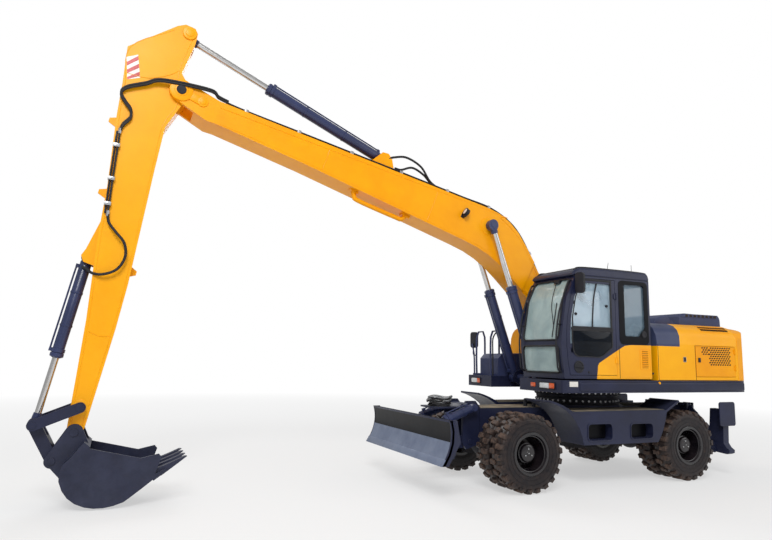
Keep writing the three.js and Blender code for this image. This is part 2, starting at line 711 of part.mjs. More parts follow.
const serviceDoorLowZ = deckTopZ + 60;
const serviceDoorHighZ = bodyTopZ - 340;
const serviceDoorFrontX = bodySeamX - 20;
const serviceDoorRearX = bodyRearX + 60;
const hoodFrontX = -1480;
const hoodRearX = bodyRearX - 200;   // the hood reaches back over the counterweight
const hoodHalfY = 820;
const hoodTopZ = 2610;

function rearBody() {
  const outer = crossPlate(bodySection(0), bodyRearX, bodyFrontX);
  const hollow = crossPlate(bodySection(sheetThickness), bodyRearX - 10, bodySeamX - 10);
  const sideOpening = (side) => box(serviceDoorRearX, serviceDoorFrontX,
    side > 0 ? halfWidth - 100 : -halfWidth - 10,
    side > 0 ? halfWidth + 10 : -halfWidth + 100, serviceDoorLowZ, serviceDoorHighZ);
  const hoodOpening = box(bodyRearX + 90, hoodFrontX - 40, -hoodHalfY + 40, hoodHalfY - 40, bodyTopZ - 100,
    bodyTopZ + 10);
  const boomBay = box(-900, bodyFrontX + 10, boomPlaneY - 260, boomPlaneY + 260, deckTopZ - 10, 2150);
  return cut(outer, hollow, sideOpening(1), sideOpening(-1), hoodOpening, boomBay);
}
piece(slew, 'rear_body', rearBody(), yellow);

function serviceDoor(side) {
  const length = serviceDoorFrontX - serviceDoorRearX - 12;
  const height = serviceDoorHighZ - serviceDoorLowZ - 12;
  const panel = box(6, 6 + length, -doorHingeStandOff - sheetThickness + 5, -doorHingeStandOff, 0, height);
  const hinges = [0.2, 0.75].map((share) => rod('z', 9, height * share, height * share + 90, 0, 0, 12));
  const tabs = [0.2, 0.75].map((share) => box(0, 30, -doorHingeStandOff - 2, -2, height * share + 10,
    height * share + 80).subtract(box(-10, 6, -40, -doorHingeStandOff + 0.5, 0, height)));
  const body = join(panel, ...hinges, ...tabs);
  return side > 0 ? body : body.mirror([0, 1, 0]);
}

for (const [name, side] of [['left', 1], ['right', -1]]) {
  const group = new THREE.Group();
  group.position.set(serviceDoorRearX, side * (halfWidth + doorHingeStandOff), serviceDoorLowZ + 6);
  group.name = `${name}_service_door_hinge`;
  slew.add(group);
  piece(group, `${name}_service_door`, serviceDoor(side), yellow);
}

function engineHood() {
  const length = hoodFrontX - hoodRearX;
  const low = bodyTopZ + seatGap;
  const shell = new THREE.Shape();
  shell.moveTo(-length, 0);
  shell.lineTo(0, 0);
  shell.lineTo(-30, 150);
  shell.quadraticCurveTo(-60, hoodTopZ - low, -160, hoodTopZ - low);
  shell.lineTo(-length + 50, hoodTopZ - low - 20);
  shell.quadraticCurveTo(-length + 10, hoodTopZ - low - 40, -length + 5, hoodTopZ - low - 90);
  shell.lineTo(-length, 0);
  const outer = sidePlate(shell, -hoodHalfY, hoodHalfY);
  const inner = box(-length + 60, -90, -hoodHalfY + 30, hoodHalfY - 30, -10, 120);
  return cut(outer, inner);
}
const hoodGroup = new THREE.Group();
hoodGroup.position.set(hoodFrontX, 0, bodyTopZ + seatGap);
hoodGroup.name = 'hood_hinge';
slew.add(hoodGroup);
piece(hoodGroup, 'engine_hood', engineHood(), darkGrey);

piece(slew, 'engine', box(-2050, -1420, boomPlaneY - 300, boomPlaneY + 650, deckTopZ + seatGap, 2180),
  steel);

function counterweight() {
  const front = bodyRearX - seatGap;
  const plan = new THREE.Shape();
  plan.moveTo(front, halfWidth);
  plan.quadraticCurveTo(deckRearX + 30, halfWidth, deckRearX + 12, 780);
  plan.quadraticCurveTo(deckRearX, 300, deckRearX, 0);
  plan.quadraticCurveTo(deckRearX, -300, deckRearX + 12, -780);
  plan.quadraticCurveTo(deckRearX + 30, -halfWidth, front, -halfWidth);
  const block = planPlate(plan, deckTopZ + seatGap, bodyTopZ + 100);
  const crownShape = new THREE.Shape();
  crownShape.moveTo(-halfWidth - 10, deckTopZ - 10);
  crownShape.lineTo(halfWidth + 10, deckTopZ - 10);
  crownShape.lineTo(halfWidth + 10, bodyTopZ - 330);
  crownShape.quadraticCurveTo(halfWidth, bodyTopZ - 60, halfWidth - 260, bodyTopZ - 20);
  crownShape.lineTo(-halfWidth + 260, bodyTopZ - 20);
  crownShape.quadraticCurveTo(-halfWidth, bodyTopZ - 60, -halfWidth - 10, bodyTopZ - 330);
  const crown = crossPlate(crownShape, deckRearX - 50, front + 50);
  const slopeShape = outline([[deckRearX - 50, deckTopZ - 10], [front + 60, deckTopZ - 10],
    [front + 60, bodyTopZ],
    [front - 60, bodyTopZ - 20], [deckRearX + 160, bodyTopZ - 65], [deckRearX + 70, bodyTopZ - 160],
    [deckRearX + 20, bodyTopZ - 310], [deckRearX, bodyTopZ - 520], [deckRearX - 50, bodyTopZ - 560]]);
  return block.intersect(crown).intersect(sidePlate(slopeShape, -halfWidth - 20, halfWidth + 20));
}
piece(slew, 'counterweight', counterweight(), yellow);

// ---- right-hand side: tank, front tool box with rails ---------------------------------------------------
const rightInnerY = boomPlaneY - notchHalf - 10;
const tankShape = new THREE.Shape();
tankShape.moveTo(-halfWidth, deckTopZ + seatGap);
tankShape.lineTo(rightInnerY, deckTopZ + seatGap);
tankShape.lineTo(rightInnerY, bodyTopZ - 40);
tankShape.lineTo(-halfWidth + 250, bodyTopZ - 40);
tankShape.quadraticCurveTo(-halfWidth, bodyTopZ - 80, -halfWidth, bodyTopZ - 360);
piece(slew, 'fuel_tank', crossPlate(tankShape, bodyFrontX + seatGap, 420), yellow);

function frontToolBox() {
  const low = deckTopZ + seatGap;
  const profile = outline([[480, low], [1130, low], [1130, 1800], [1050, 1880], [480, 1900]]);
  const body = sidePlate(profile, -1150, -600);
  const rail = (y) => bentTube([[1210, y, low + 8], [1215, y, 1900], [1190, y, 2230], [1120, y, 2290],
    [1060, y, 2240], [1040, y, 1850]], 17, 12);
  const foot = box(1120, 1235, -1225, -1100, low, low + 30);
  const post = bentTube([[1225, -1190, low + 8], [1235, -1195, 1900], [1245, -1240, 2050]], 14, 6);
  return join(body, rail(-1140), rail(-700), foot, box(1120, 1235, -730, -660, low, low + 30), post);
}
piece(slew, 'front_tool_box', frontToolBox(), darkGrey);

// ---- cab ----------------------------------------------------------------------------------------------
const roofLowZ = cabTopZ - 130;

function cabProfile(inset, low, high) {
  const shape = new THREE.Shape();
  shape.moveTo(cabRearX + inset, low);
  shape.lineTo(1235 - inset, low);
  shape.quadraticCurveTo(1300 - inset, 1950, 1285 - inset, 2100);
  shape.lineTo(1185 - inset, 2680);
  shape.lineTo(1010 - inset, high);
  shape.lineTo(cabRearX + inset, high);
  return shape;
}

const doorRearX = 250;
const doorFrontLowX = 1150;
const doorLowZ = cabFloorZ + 50;
const doorHighZ = roofLowZ - 25;

function doorShape(inset) {
  const shape = new THREE.Shape();
  shape.moveTo(doorRearX + inset + 10, doorLowZ + inset);
  shape.lineTo(doorFrontLowX - inset - 10, doorLowZ + inset);
  shape.quadraticCurveTo(doorFrontLowX + 80 - inset, 2000, doorFrontLowX + 20 - inset, 2400);
  shape.lineTo(doorFrontLowX - 45 - inset, 2700);
  shape.lineTo(doorFrontLowX - 170 - inset, doorHighZ - inset);
  shape.lineTo(doorRearX + inset + 10, doorHighZ - inset);
  return shape;
}

function cabFrame() {
  const outer = sidePlate(cabProfile(0, cabFloorZ, roofLowZ), cabRightY, cabLeftY);
  const inner = sidePlate(cabProfile(cabWall, cabFloorZ + 30, roofLowZ + 10), cabRightY + cabWall,
    cabLeftY - cabWall);
  const doorway = sidePlate(doorShape(0), cabLeftY - cabWall - 10, cabLeftY + 10);
  const quarter = sidePlate(roundedRect(cabRearX + 90, doorRearX - 70, 2080, roofLowZ - 70, 60),
    cabLeftY - cabWall - 10, cabLeftY + 10);
  const rightWindow = sidePlate(roundedRect(cabRearX + 110, 1080, 1980, roofLowZ - 80, 60), cabRightY - 10,
    cabRightY + cabWall + 10);
  const rearWindow = crossPlate(roundedRect(cabRightY + 100, cabLeftY - 100, 2080, roofLowZ - 70, 50),
    cabRearX - 10, cabRearX + cabWall + 10);
  const windshield = crossPlate(roundedRect(cabRightY + 65, cabLeftY - 65, 2075, roofLowZ - 40, 60),
    880, 1400);
  const lowerPane = crossPlate(roundedRect(cabRightY + 70, cabLeftY - 70, cabFloorZ + 80, 2000, 50),
    1100, 1400);
  return cut(outer, inner, doorway, quarter, rightWindow, rearWindow, windshield, lowerPane);
}
piece(slew, 'cab_frame', cabFrame(), darkGrey);

function cabRoof() {
  const low = roofLowZ + seatGap;
  const shape = new THREE.Shape();
  shape.moveTo(cabRearX - 10, low);
  shape.lineTo(1060, low);
  shape.quadraticCurveTo(1060, cabTopZ - 60, 930, cabTopZ - 15);
  shape.quadraticCurveTo(600, cabTopZ, 300, cabTopZ);
  shape.lineTo(cabRearX + 60, cabTopZ);
  shape.quadraticCurveTo(cabRearX - 10, cabTopZ - 20, cabRearX - 10, low);
  return sidePlate(shape, cabRightY - 5, cabLeftY + 5);
}
piece(slew, 'cab_roof', cabRoof(), darkGrey);

const cabHingeStandOff = 12;
const doorHinge = new THREE.Group();
doorHinge.position.set(doorRearX, cabLeftY + cabHingeStandOff, 0);
doorHinge.name = 'cab_door_hinge';
slew.add(doorHinge);

const doorGlassInset = 70;
const doorSillZ = 2030;

function cabDoor() {
  const gap = 6;
  const panel = sidePlate(doorShape(gap), cabLeftY - cabDoorThickness, cabLeftY);
  const upper = sidePlate(doorShape(doorGlassInset), cabLeftY - cabDoorThickness - 5, cabLeftY + 5)
    .intersect(box(0, 1400, 0, 1400, doorSillZ, 3200));
  const lower = sidePlate(doorShape(doorGlassInset), cabLeftY - cabDoorThickness - 5, cabLeftY + 5)
    .intersect(box(0, 1400, 0, 1400, doorLowZ, doorSillZ - 60));
  const hinges = [1750, 2700].map((z) => join(
    rod('z', 10, z, z + 100, doorRearX, cabLeftY + cabHingeStandOff, 12),
    box(doorRearX, doorRearX + 45, cabLeftY + 1, cabLeftY + 10, z + 10, z + 90),
    box(doorRearX + 25, doorRearX + 45, cabLeftY - 5, cabLeftY + 10, z + 10, z + 90),
  ));
  const lowerKept = lower.intersect(box(620, 1400, 0, 1400, 0, 3200));
  return join(cut(panel, upper, lowerKept), ...hinges);
}
const doorMesh = piece(doorHinge, 'cab_door', cabDoor(), darkGrey);
doorMesh.position.set(-doorRearX, -cabLeftY - cabHingeStandOff, 0);

function doorGlassPane() {
  const y0 = cabLeftY - 30;
  return sidePlate(doorShape(doorGlassInset + 1), y0, y0 + glassThickness)
    .intersect(box(0, 1400, 0, 1400, doorSillZ + 1, 3200));
}
const doorGlassMesh = piece(doorHinge, 'door_glass', doorGlassPane(), glass);
doorGlassMesh.position.copy(doorMesh.position);

piece(slew, 'quarter_glass', sidePlate(
  roundedRect(cabRearX + 91, doorRearX - 71, 2081, roofLowZ - 71, 59), cabLeftY - 30,
    cabLeftY - 30 + glassThickness,
), glass);
piece(slew, 'right_window_glass', sidePlate(
  roundedRect(cabRearX + 111, 1079, 1981, roofLowZ - 81, 59), cabRightY + 20,
    cabRightY + 20 + glassThickness,
), glass);
piece(slew, 'rear_window_glass', crossPlate(
  roundedRect(cabRightY + 101, cabLeftY - 101, 2081, roofLowZ - 71, 49), cabRearX + 20,
    cabRearX + 20 + glassThickness,
), glass);

function windshieldGlass() {
  const front = sidePlate(cabProfile(20, cabFloorZ + 82, roofLowZ - 42), cabRightY + 67, cabLeftY - 67);
  const back = sidePlate(cabProfile(20 + glassThickness, cabFloorZ, roofLowZ + 5), cabRightY, cabLeftY);
  const opening = crossPlate(roundedRect(cabRightY + 66, cabLeftY - 66, 2076, roofLowZ - 41, 59), 880, 1400);
  return cut(front, back).intersect(opening);
}
piece(slew, 'windshield_glass', windshieldGlass(), glass);

const seatY = (cabRightY + cabLeftY) / 2;
const seatX = 170;

function operatorStation() {
  const floorTop = cabFloorZ + 30 + seatGap;
  const pedestal = box(seatX - 230, seatX + 220, seatY - 260, seatY + 260, floorTop, 1830);
  const consoles = [-1, 1].map((side) => box(seatX - 160, seatX + 370, seatY + side * 300 - 65,
    seatY + side * 300 + 65, 1900, 2040));
  const arms = [-1, 1].map((side) => box(seatX - 160, seatX + 60, seatY + Math.min(side * 238, side * 310),
    seatY + Math.max(side * 238, side * 310), 1720, 1960));
  const sticks = [-1, 1].map((side) => rod('z', 16, 2030, 2180, seatX + 310, seatY + side * 300, 10));
  const footRest = box(seatX - 230, 1000, seatY - 180, seatY + 180, floorTop, floorTop + 20);
  const column = bar([960, seatY, floorTop + 10], [800, seatY, 2180], 38, 12);
  const ring = solid(new THREE.TorusGeometry(180, 14, 8, 24)).rotate([0, 65, 0]).translate([795, seatY,
    2195]);
  const spoke = box(-12, 12, -178, 178, -10, 10).rotate([0, -25, 0]).translate([795, seatY, 2195]);
  return join(pedestal, ...consoles, ...arms, ...sticks, footRest, column, ring, spoke);
}
piece(slew, 'operator_station', operatorStation(), black);
piece(slew, 'seat_cushion', sidePlate(roundedRect(seatX - 240, seatX + 270, 1840, 1960, 40), seatY - 225,
  seatY + 225), fabric);

function seatBackrest() {
  const back = box(-60, 55, -220, 220, 0, 620);
  const head = box(-40, 40, -130, 130, 610, 820);
  return join(back, head).rotate([0, -12, 0]).translate([seatX - 230, seatY, 1985]);
}
piece(slew, 'seat_backrest', seatBackrest(), fabric);

// ---- boom ---------------------------------------------------------------------------------------------
const boomGroup = pivot(slew, boomFootX, boomPlaneY, boomFootZ, boomRestDeg);
boomGroup.name = 'boom_foot';

const tipSlotX = boomLength - 270;

// The arm cylinder's base pin stands at a set height over the boom's straight top edge.
const armCylinderBase = (() => {
  const x = boomLength - armCylinderSetback;
  const run = boomLength - boomTopEnd[0] - boomTopHump[0];
  const edgeZ = boomTopHump[1] + (x - boomTopHump[0]) * (boomTopEnd[1] - boomTopHump[1]) / run;
  return [x, edgeZ + armCylinderRise];
})();

function boomBody() {
  const shape = new THREE.Shape();
  shape.moveTo(60, -135);
  shape.lineTo(1103, 335);
  shape.lineTo(1641, 488);
  shape.quadraticCurveTo(2120, 630, 2600, 540);
  shape.lineTo(boomLength - 1844, 105);
  shape.lineTo(boomLength - 600, -125);
  shape.lineTo(boomLength - 470, -165);
  shape.lineTo(boomLength - 60, -150);
  shape.absarc(boomLength, 0, 150, -Math.PI * 0.5, Math.PI * 0.5, false);
  shape.lineTo(boomLength - boomTopEnd[0], boomTopEnd[1]);
  shape.lineTo(...boomTopHump);
  shape.quadraticCurveTo(2001, 1370, 1560, 1086);
  shape.absarc(0, 0, 150, Math.PI * 0.7, Math.PI * 1.6, false);
  const full = sidePlate(shape, -boomHalfWidth, boomHalfWidth);
  const thin = [-1, 1].map((side) => box(-300, 1300, side > 0 ? boomFootHalfWidth : -400,
    side > 0 ? 400 : -boomFootHalfWidth, -400, 1100));
  const tipSlot = box(tipSlotX, boomLength + 300, -armHalfWidth - runGap, armHalfWidth + runGap, -400, 400);
  const [cx, cz] = armCylinderBase;
  const earShape = outline([[cx - 330, cz - 260], [cx + 250, cz - 330], [cx + 90, cz + 60], [cx, cz + 95],
    [cx - 90, cz + 50]]);
  const ears = [-1, 1].map((side) => sidePlate(earShape, side > 0 ? 84 : -118, side > 0 ? 118 : -84));
  const armCylinderPinBar = rod('y', 45, -118, 118, cx, cz, 12);
  const footPin = rod('y', 55, -boomFootHalfWidth - runGap - 34, boomFootHalfWidth + runGap + 34, 0, 0);
  const bosses = [-1, 1].map((side) => rod('y', 130, side > 0 ? boomHalfWidth - 5 : -boomHalfWidth - 8,
    side > 0 ? boomHalfWidth + 8 : -boomHalfWidth + 5, boomCylinderPin[0], boomCylinderPin[1], 24));
  const tipPin = rod('y', 60, -boomHalfWidth - 25, boomHalfWidth + 25, boomLength, 0);
  return join(cut(full, ...thin, tipSlot), ...ears, armCylinderPinBar, footPin, ...bosses, tipPin);
}
piece(boomGroup, 'boom', boomBody(), yellow);

// Boom cylinders, one on each side of the boom.
const boomPinWorld = (() => {
  const [x, z] = turn(boomCylinderPin, boomRestDeg);
  return [boomFootX + x, boomFootZ + z];
})();
const boomCylinderSpec = {
  eyeRadius: 95, eyeWidth: 96, barrelRadius: 74, rodRadius: 43, rodEyeRadius: 88, rodEyeWidth: 90,
  pinRadius: 50, barrelLength: 1520, strokeIn: 850, restLength: distance(boomCylinderBase, boomPinWorld),
};
const boomCylinderGroup = pivot(slew, boomCylinderBase[0], boomPlaneY, boomCylinderBase[1],
  headingDeg(boomCylinderBase, boomPinWorld));
boomCylinderGroup.name = 'boom_cylinder_pivot';
piece(boomCylinderGroup, 'boom_cylinder_barrels', join(
  ...pairOf(cylinderBarrel(boomCylinderSpec), boomCylinderHalfSpacing),
  rod('y', 50, -boomCylinderHalfSpacing - 60, boomCylinderHalfSpacing + 60, 0, 0),
), black);
for (const [name, side] of [['left', 1], ['right', -1]]) {
  piece(boomCylinderGroup, `boom_rod_${name}`,
    cylinderRod(boomCylinderSpec).translate([0, side * boomCylinderHalfSpacing, 0]), chrome);
}

// ---- arm ----------------------------------------------------------------------------------------------
const armGroup = pivot(boomGroup, boomLength, 0, 0, armRestDeg);
armGroup.name = 'arm_pivot';

function armBody() {
  const end = armLength;
  const shape = outline([
    [-100, -85], [60, -115], [160, -60], [540, 55], [1098, 25], [2640, -80], [3200, -95], [end - 70, -92],
    [end + 50, -78], [end + 92, 0], [end + 60, 75], [end - 30, 92], [end - 620, 165], [end - 1290, 250],
    [2209, 405], [1500, 490], [600, 640], [164, 695], [-330, 773], [-871, 282], [-936, 190], [-930, 60],
    [-870, 12], [-714, 5], [-251, 60]]);
  const full = sidePlate(shape, -armHalfWidth, armHalfWidth);
  const taper = [-1, 1].map((side) => box(end - 180, end + 200, side > 0 ? armHalfWidth - 10 : -400,
    side > 0 ? 400 : -armHalfWidth + 10, -300, 300));
  const eyeSlot = box(-1200, -600, -72, 72, -300, 900);
  const boomBore = rod('y', 60 + pinGap, -300, 300, 0, 0);
  const bucketBore = rod('y', 45 + pinGap, -300, 300, end, 0);
  const rockerBore = rod('y', 45 + pinGap, -300, 300, rockerPin[0], rockerPin[1]);
  const [cx, cz] = bucketCylinderBase;
  const earShape = outline([[cx - 500, cz - 20], [cx - 90, cz + 45], [cx, cz + 75], [cx + 70, cz + 30],
    [cx + 90, cz - 130], [cx - 500, cz - 130]]);
  const ears = [-1, 1].map((side) => sidePlate(earShape, side > 0 ? 76 : -108, side > 0 ? 108 : -76));
  const pin = rod('y', 38, -108, 108, cx, cz, 12);
  const stubs = [-1, 1].map((side) => rod('y', 55, side > 0 ? 150 : -185, side > 0 ? 185 : -150,
    armCylinderPin[0], armCylinderPin[1]));
  const lug = (x, z, up) => sidePlate(outline([[x - 70, z], [x + 70, z], [x + 25, z + up], [x - 25,
    z + up]]), -15, 15);
  const lugs = [lug(640, 615, 105), lug(1581, 465, 110), lug(2464, -50, -85)];
  return join(cut(full, ...taper, eyeSlot, boomBore, bucketBore, rockerBore), ...ears, pin, ...stubs,
    ...lugs);
}
piece(armGroup, 'arm', armBody(), yellow);

// Arm cylinder on top of the boom.
const armPinInBoom = (() => {
  const [x, z] = turn(armCylinderPin, armRestDeg);
  return [boomLength + x, z];
})();
const armCylinderSpec = {
  eyeRadius: 90, eyeWidth: 150, barrelRadius: 76, rodRadius: 45, rodEyeRadius: 92, rodEyeWidth: 124,
  pinRadius: 50, barrelLength: 1995, strokeIn: 1000, restLength: distance(armCylinderBase, armPinInBoom),
};
const armCylinderGroup = pivot(boomGroup, armCylinderBase[0], 0, armCylinderBase[1],
  headingDeg(armCylinderBase, armPinInBoom));
armCylinderGroup.name = 'arm_cylinder_pivot';
piece(armCylinderGroup, 'arm_cylinder_barrel',
  cut(cylinderBarrel(armCylinderSpec), rod('y', 45 + pinGap, -80, 80, 0, 0, 12)), black);
piece(armCylinderGroup, 'arm_cylinder_rod', cylinderRod(armCylinderSpec), chrome);

// ---- bucket and its linkage ---------------------------------------------------------------------------
const bucketGroup = pivot(armGroup, armLength, 0, 0, bucketRestDeg);
bucketGroup.name = 'bucket_pivot';
const earInner = armHalfWidth + bucketEarGap;
const earOuter = earInner + 34;

function bucketBody() {
  const half = bucketWidth / 2;
  const wall = 24;
  const tip = bucketTipRadius;
  const outerShape = new THREE.Shape();
  outerShape.moveTo(150, 118);
  outerShape.lineTo(780, 118);
  outerShape.lineTo(tip - 330, 30);
  outerShape.lineTo(tip - 290, 60);
  outerShape.lineTo(tip - 310, 330);
  outerShape.quadraticCurveTo(tip - 480, 545, 740, 625);
  outerShape.quadraticCurveTo(550, 757, 350, 745);
  outerShape.quadraticCurveTo(120, 728, 10, 520);
  outerShape.quadraticCurveTo(-22, 420, 0, 330);
  const outer = sidePlate(outerShape, -half, half);
  const innerShape = new THREE.Shape();
  innerShape.moveTo(170, 60);
  innerShape.lineTo(tip - 200, 0);
  innerShape.lineTo(tip - 200, 300);
  innerShape.lineTo(tip - 336, 318);
  innerShape.quadraticCurveTo(tip - 500, 525, 728, 602);
  innerShape.quadraticCurveTo(545, 732, 354, 720);
  innerShape.quadraticCurveTo(140, 702, 35, 504);
  innerShape.quadraticCurveTo(6, 415, 26, 342);
  const inner = sidePlate(innerShape, -half + wall, half - wall);
  const lipShape = outline([[tip - 350, 300], [tip - 300, 340], [tip - 180, 200], [tip - 210, 180]]);
  const lip = sidePlate(lipShape, -half, half);
  const toothShape = outline([[tip - 330, 215], [tip - 230, 275], [tip - 90, 110], [tip, 0], [tip - 30, 8],
    [tip - 140, 90], [tip - 250, 165]]);
  const teeth = [-1, -1 / 3, 1 / 3, 1].map((share) => {
    const y = share * (half - 70);
    return sidePlate(toothShape, y - 38, y + 38);
  });
  const earShape = new THREE.Shape();
  earShape.moveTo(60, -70);
  earShape.absarc(0, 0, 98, -Math.PI * 0.25, -Math.PI, true);
  earShape.lineTo(bucketLinkPin[0] - 78, bucketLinkPin[1] - 10);
  earShape.absarc(bucketLinkPin[0], bucketLinkPin[1], 78, Math.PI, Math.PI * 0.45, true);
  earShape.lineTo(60, 560);
  earShape.lineTo(220, 130);
  const ears = [-1, 1].map((side) => sidePlate(earShape, side > 0 ? earInner : -earOuter,
    side > 0 ? earOuter : -earInner));
  const closer = sidePlate(outline([[135, 60], [215, 100], [70, 500], [10, 340]]), -half, half);
  const armRoom = rod('y', 118, -earInner, earInner, 0, 0, 24);
  const pin = rod('y', 45, -earOuter - 14, earOuter + 14, 0, 0, 12);
  const caps = [-1, 1].map((side) => rod('y', 42, side > 0 ? earOuter - 4 : -earOuter - 12,
    side > 0 ? earOuter + 12 : -earOuter + 4, bucketLinkPin[0], bucketLinkPin[1], 12));
  return join(cut(join(cut(outer, inner), closer), armRoom), lip, ...teeth, ...ears, pin, ...caps);
}
piece(bucketGroup, 'bucket', bucketBody(), darkGrey);

// The rocker swings on the arm, and the link hangs from it to the bucket's ears, which it meets with no pin.
const rockerInner = earOuter + 20;
const rockerOuter = rockerInner + 30;
const linkPinInArm = (() => {
  const [bx, bz] = turn(bucketLinkPin, bucketRestDeg);
  const n = [armLength + bx, bz];
  const d = distance(rockerPin, n);
  const along = (rockerLength ** 2 - linkLength ** 2 + d ** 2) / (2 * d);
  const off = Math.sqrt(rockerLength ** 2 - along ** 2);
  const ux = (n[0] - rockerPin[0]) / d;
  const uz = (n[1] - rockerPin[1]) / d;
  return {
    joint: [rockerPin[0] + ux * along - uz * off, rockerPin[1] + uz * along + ux * off],
    bucketEnd: n,
  };
})();

const rockerGroup = pivot(armGroup, rockerPin[0], 0, rockerPin[1], headingDeg(rockerPin,
  linkPinInArm.joint));
rockerGroup.name = 'rocker_pivot';

function rocker() {
  const r = rockerLength;
  const shape = new THREE.Shape();
  shape.absarc(0, 0, 62, Math.PI / 2, Math.PI * 1.5, false);
  shape.absarc(r, 0, 62, -Math.PI / 2, Math.PI / 2, false);
  const plates = [-1, 1].map((side) => sidePlate(shape, side > 0 ? rockerInner : -rockerOuter,
    side > 0 ? rockerOuter : -rockerInner));
  const pin = rod('y', 45, -rockerOuter - 10, rockerOuter + 10, 0, 0);
  const stubs = [-1, 1].map((side) => rod('y', 38, side > 0 ? 72 : -rockerOuter - 8,
    side > 0 ? rockerOuter + 8 : -72, r, 0, 12));
  return join(...plates, pin, ...stubs);
}
piece(rockerGroup, 'bucket_rocker', rocker(), darkGrey);

const linkGroup = pivot(rockerGroup, rockerLength, 0, 0,
  headingDeg(linkPinInArm.joint, linkPinInArm.bucketEnd) - headingDeg(rockerPin, linkPinInArm.joint));
linkGroup.name = 'link_pivot';

function bucketLink() {
  const length = linkLength;
  const shape = new THREE.Shape();
  shape.absarc(0, 0, 68, Math.PI / 2, Math.PI * 1.5, false);
  shape.absarc(length, 0, 66, -Math.PI / 2, Math.PI / 2, false);
  const full = sidePlate(shape, -140, 140);
  const slot = box(-200, 190, -72, 72, -200, 200);
  const bore = rod('y', 38 + pinGap, -200, 200, 0, 0, 12);
  const eye = rod('y', 42 + pinGap, -200, 200, length, 0, 12);
  return cut(full, slot, bore, eye);
}
piece(linkGroup, 'bucket_link', bucketLink(), darkGrey);

const bucketCylinderSpec = {
  eyeRadius: 72, eyeWidth: 130, barrelRadius: 66, rodRadius: 38, rodEyeRadius: 72, rodEyeWidth: 124,
  pinRadius: 38, barrelLength: 1240, strokeIn: 660, restLength: distance(bucketCylinderBase,
    linkPinInArm.joint),
};
const bucketCylinderGroup = pivot(armGroup, bucketCylinderBase[0], 0, bucketCylinderBase[1],
  headingDeg(bucketCylinderBase, linkPinInArm.joint));
bucketCylinderGroup.name = 'bucket_cylinder_pivot';
piece(bucketCylinderGroup, 'bucket_cylinder_barrel',
  cut(cylinderBarrel(bucketCylinderSpec), rod('y', 38 + pinGap, -80, 80, 0, 0, 12)), black);
piece(bucketCylinderGroup, 'bucket_cylinder_rod', cylinderRod(bucketCylinderSpec), chrome);

// ---- the whole machine is centred in X and Y, and stands on Z = 0 -------------------------------------
machine.updateMatrixWorld(true);
const bounds = new THREE.Box3().setFromObject(machine, true);
const excavator = new THREE.Group();
machine.position.set(-(bounds.min.x + bounds.max.x) / 2, -(bounds.min.y + bounds.max.y) / 2, 0);
excavator.add(machine);

export default excavator;
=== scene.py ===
# Wheeled excavator: the looks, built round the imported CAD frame. Metres, +X forward, +Y machine's left,
# +Z up.
import json
import math
import random
import bpy
import bmesh
from mathutils import Matrix, Vector


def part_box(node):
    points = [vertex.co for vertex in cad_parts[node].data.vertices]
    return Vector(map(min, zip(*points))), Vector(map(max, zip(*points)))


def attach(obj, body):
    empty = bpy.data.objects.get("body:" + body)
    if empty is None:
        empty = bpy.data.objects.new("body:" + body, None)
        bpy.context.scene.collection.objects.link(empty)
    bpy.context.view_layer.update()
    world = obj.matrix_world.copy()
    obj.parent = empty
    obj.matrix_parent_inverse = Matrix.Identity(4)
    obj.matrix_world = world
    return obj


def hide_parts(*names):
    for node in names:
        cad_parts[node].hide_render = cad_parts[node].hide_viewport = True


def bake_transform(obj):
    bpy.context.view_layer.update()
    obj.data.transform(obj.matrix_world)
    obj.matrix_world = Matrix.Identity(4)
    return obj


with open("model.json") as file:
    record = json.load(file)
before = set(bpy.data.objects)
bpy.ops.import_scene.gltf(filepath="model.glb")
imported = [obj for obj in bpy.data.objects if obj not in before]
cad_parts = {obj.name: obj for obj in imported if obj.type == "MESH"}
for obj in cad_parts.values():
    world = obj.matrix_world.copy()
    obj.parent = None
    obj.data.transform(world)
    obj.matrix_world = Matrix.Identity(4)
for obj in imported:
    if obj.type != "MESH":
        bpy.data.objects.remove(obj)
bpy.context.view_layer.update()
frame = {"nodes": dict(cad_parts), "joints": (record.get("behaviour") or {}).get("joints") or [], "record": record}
nodes = frame["nodes"]
joints = {j["name"]: j for j in frame["joints"]}
slewX = joints["swing"]["pos_m"][0]


# small tools
def hexToLinear(text):
    values = [int(text[i:i + 2], 16) / 255 for i in (1, 3, 5)]
    return tuple(v / 12.92 if v <= 0.04045 else ((v + 0.055) / 1.055) ** 2.4 for v in values) + (1.0,)


def outlet(value):
    # what a node gives out: a colour mix has its colour third, every other node used here has its value
    # first
    if isinstance(value, bpy.types.Node):
        return value.outputs[2 if getattr(value, "data_type", "") == "RGBA" else 0]
    return value


def feed(node, inputs):
    # links or sets a node's inputs
    for key, value in inputs.items():
        value = outlet(value)
        if isinstance(value, bpy.types.NodeSocket):
            node.id_data.links.new(value, node.inputs[key])
        else:
            node.inputs[key].default_value = value


def addNode(tree, kind, inputs=None, **settings):
    # a short kind is a shader node
    node = tree.nodes.new(kind if "Node" in kind else "ShaderNode" + kind)
    for key, value in settings.items():
        setattr(node, key, value)
    feed(node, inputs or {})
    return node


def mapRange(value, low, high, toLow=0.0, toHigh=1.0):
    value = outlet(value)
    return addNode(value.id_data, "MapRange", {"Value": value, "From Min": low, "From Max": high,
        "To Min": toLow, "To Max": toHigh})


def compute(operation, *values, clamp=False):
    # a math node on sockets, nodes and numbers
    tree = next(outlet(v) for v in values if not isinstance(v, (int, float))).id_data
    return addNode(tree, "Math", dict(enumerate(values)), operation=operation, use_clamp=clamp)


def mixColour(share, first, second):
    share = outlet(share)
    first, second = (hexToLinear(c) if isinstance(c, str) else c for c in (first, second))
    return addNode(share.id_data, "Mix", {0: share, 6: first, 7: second}, data_type="RGBA")


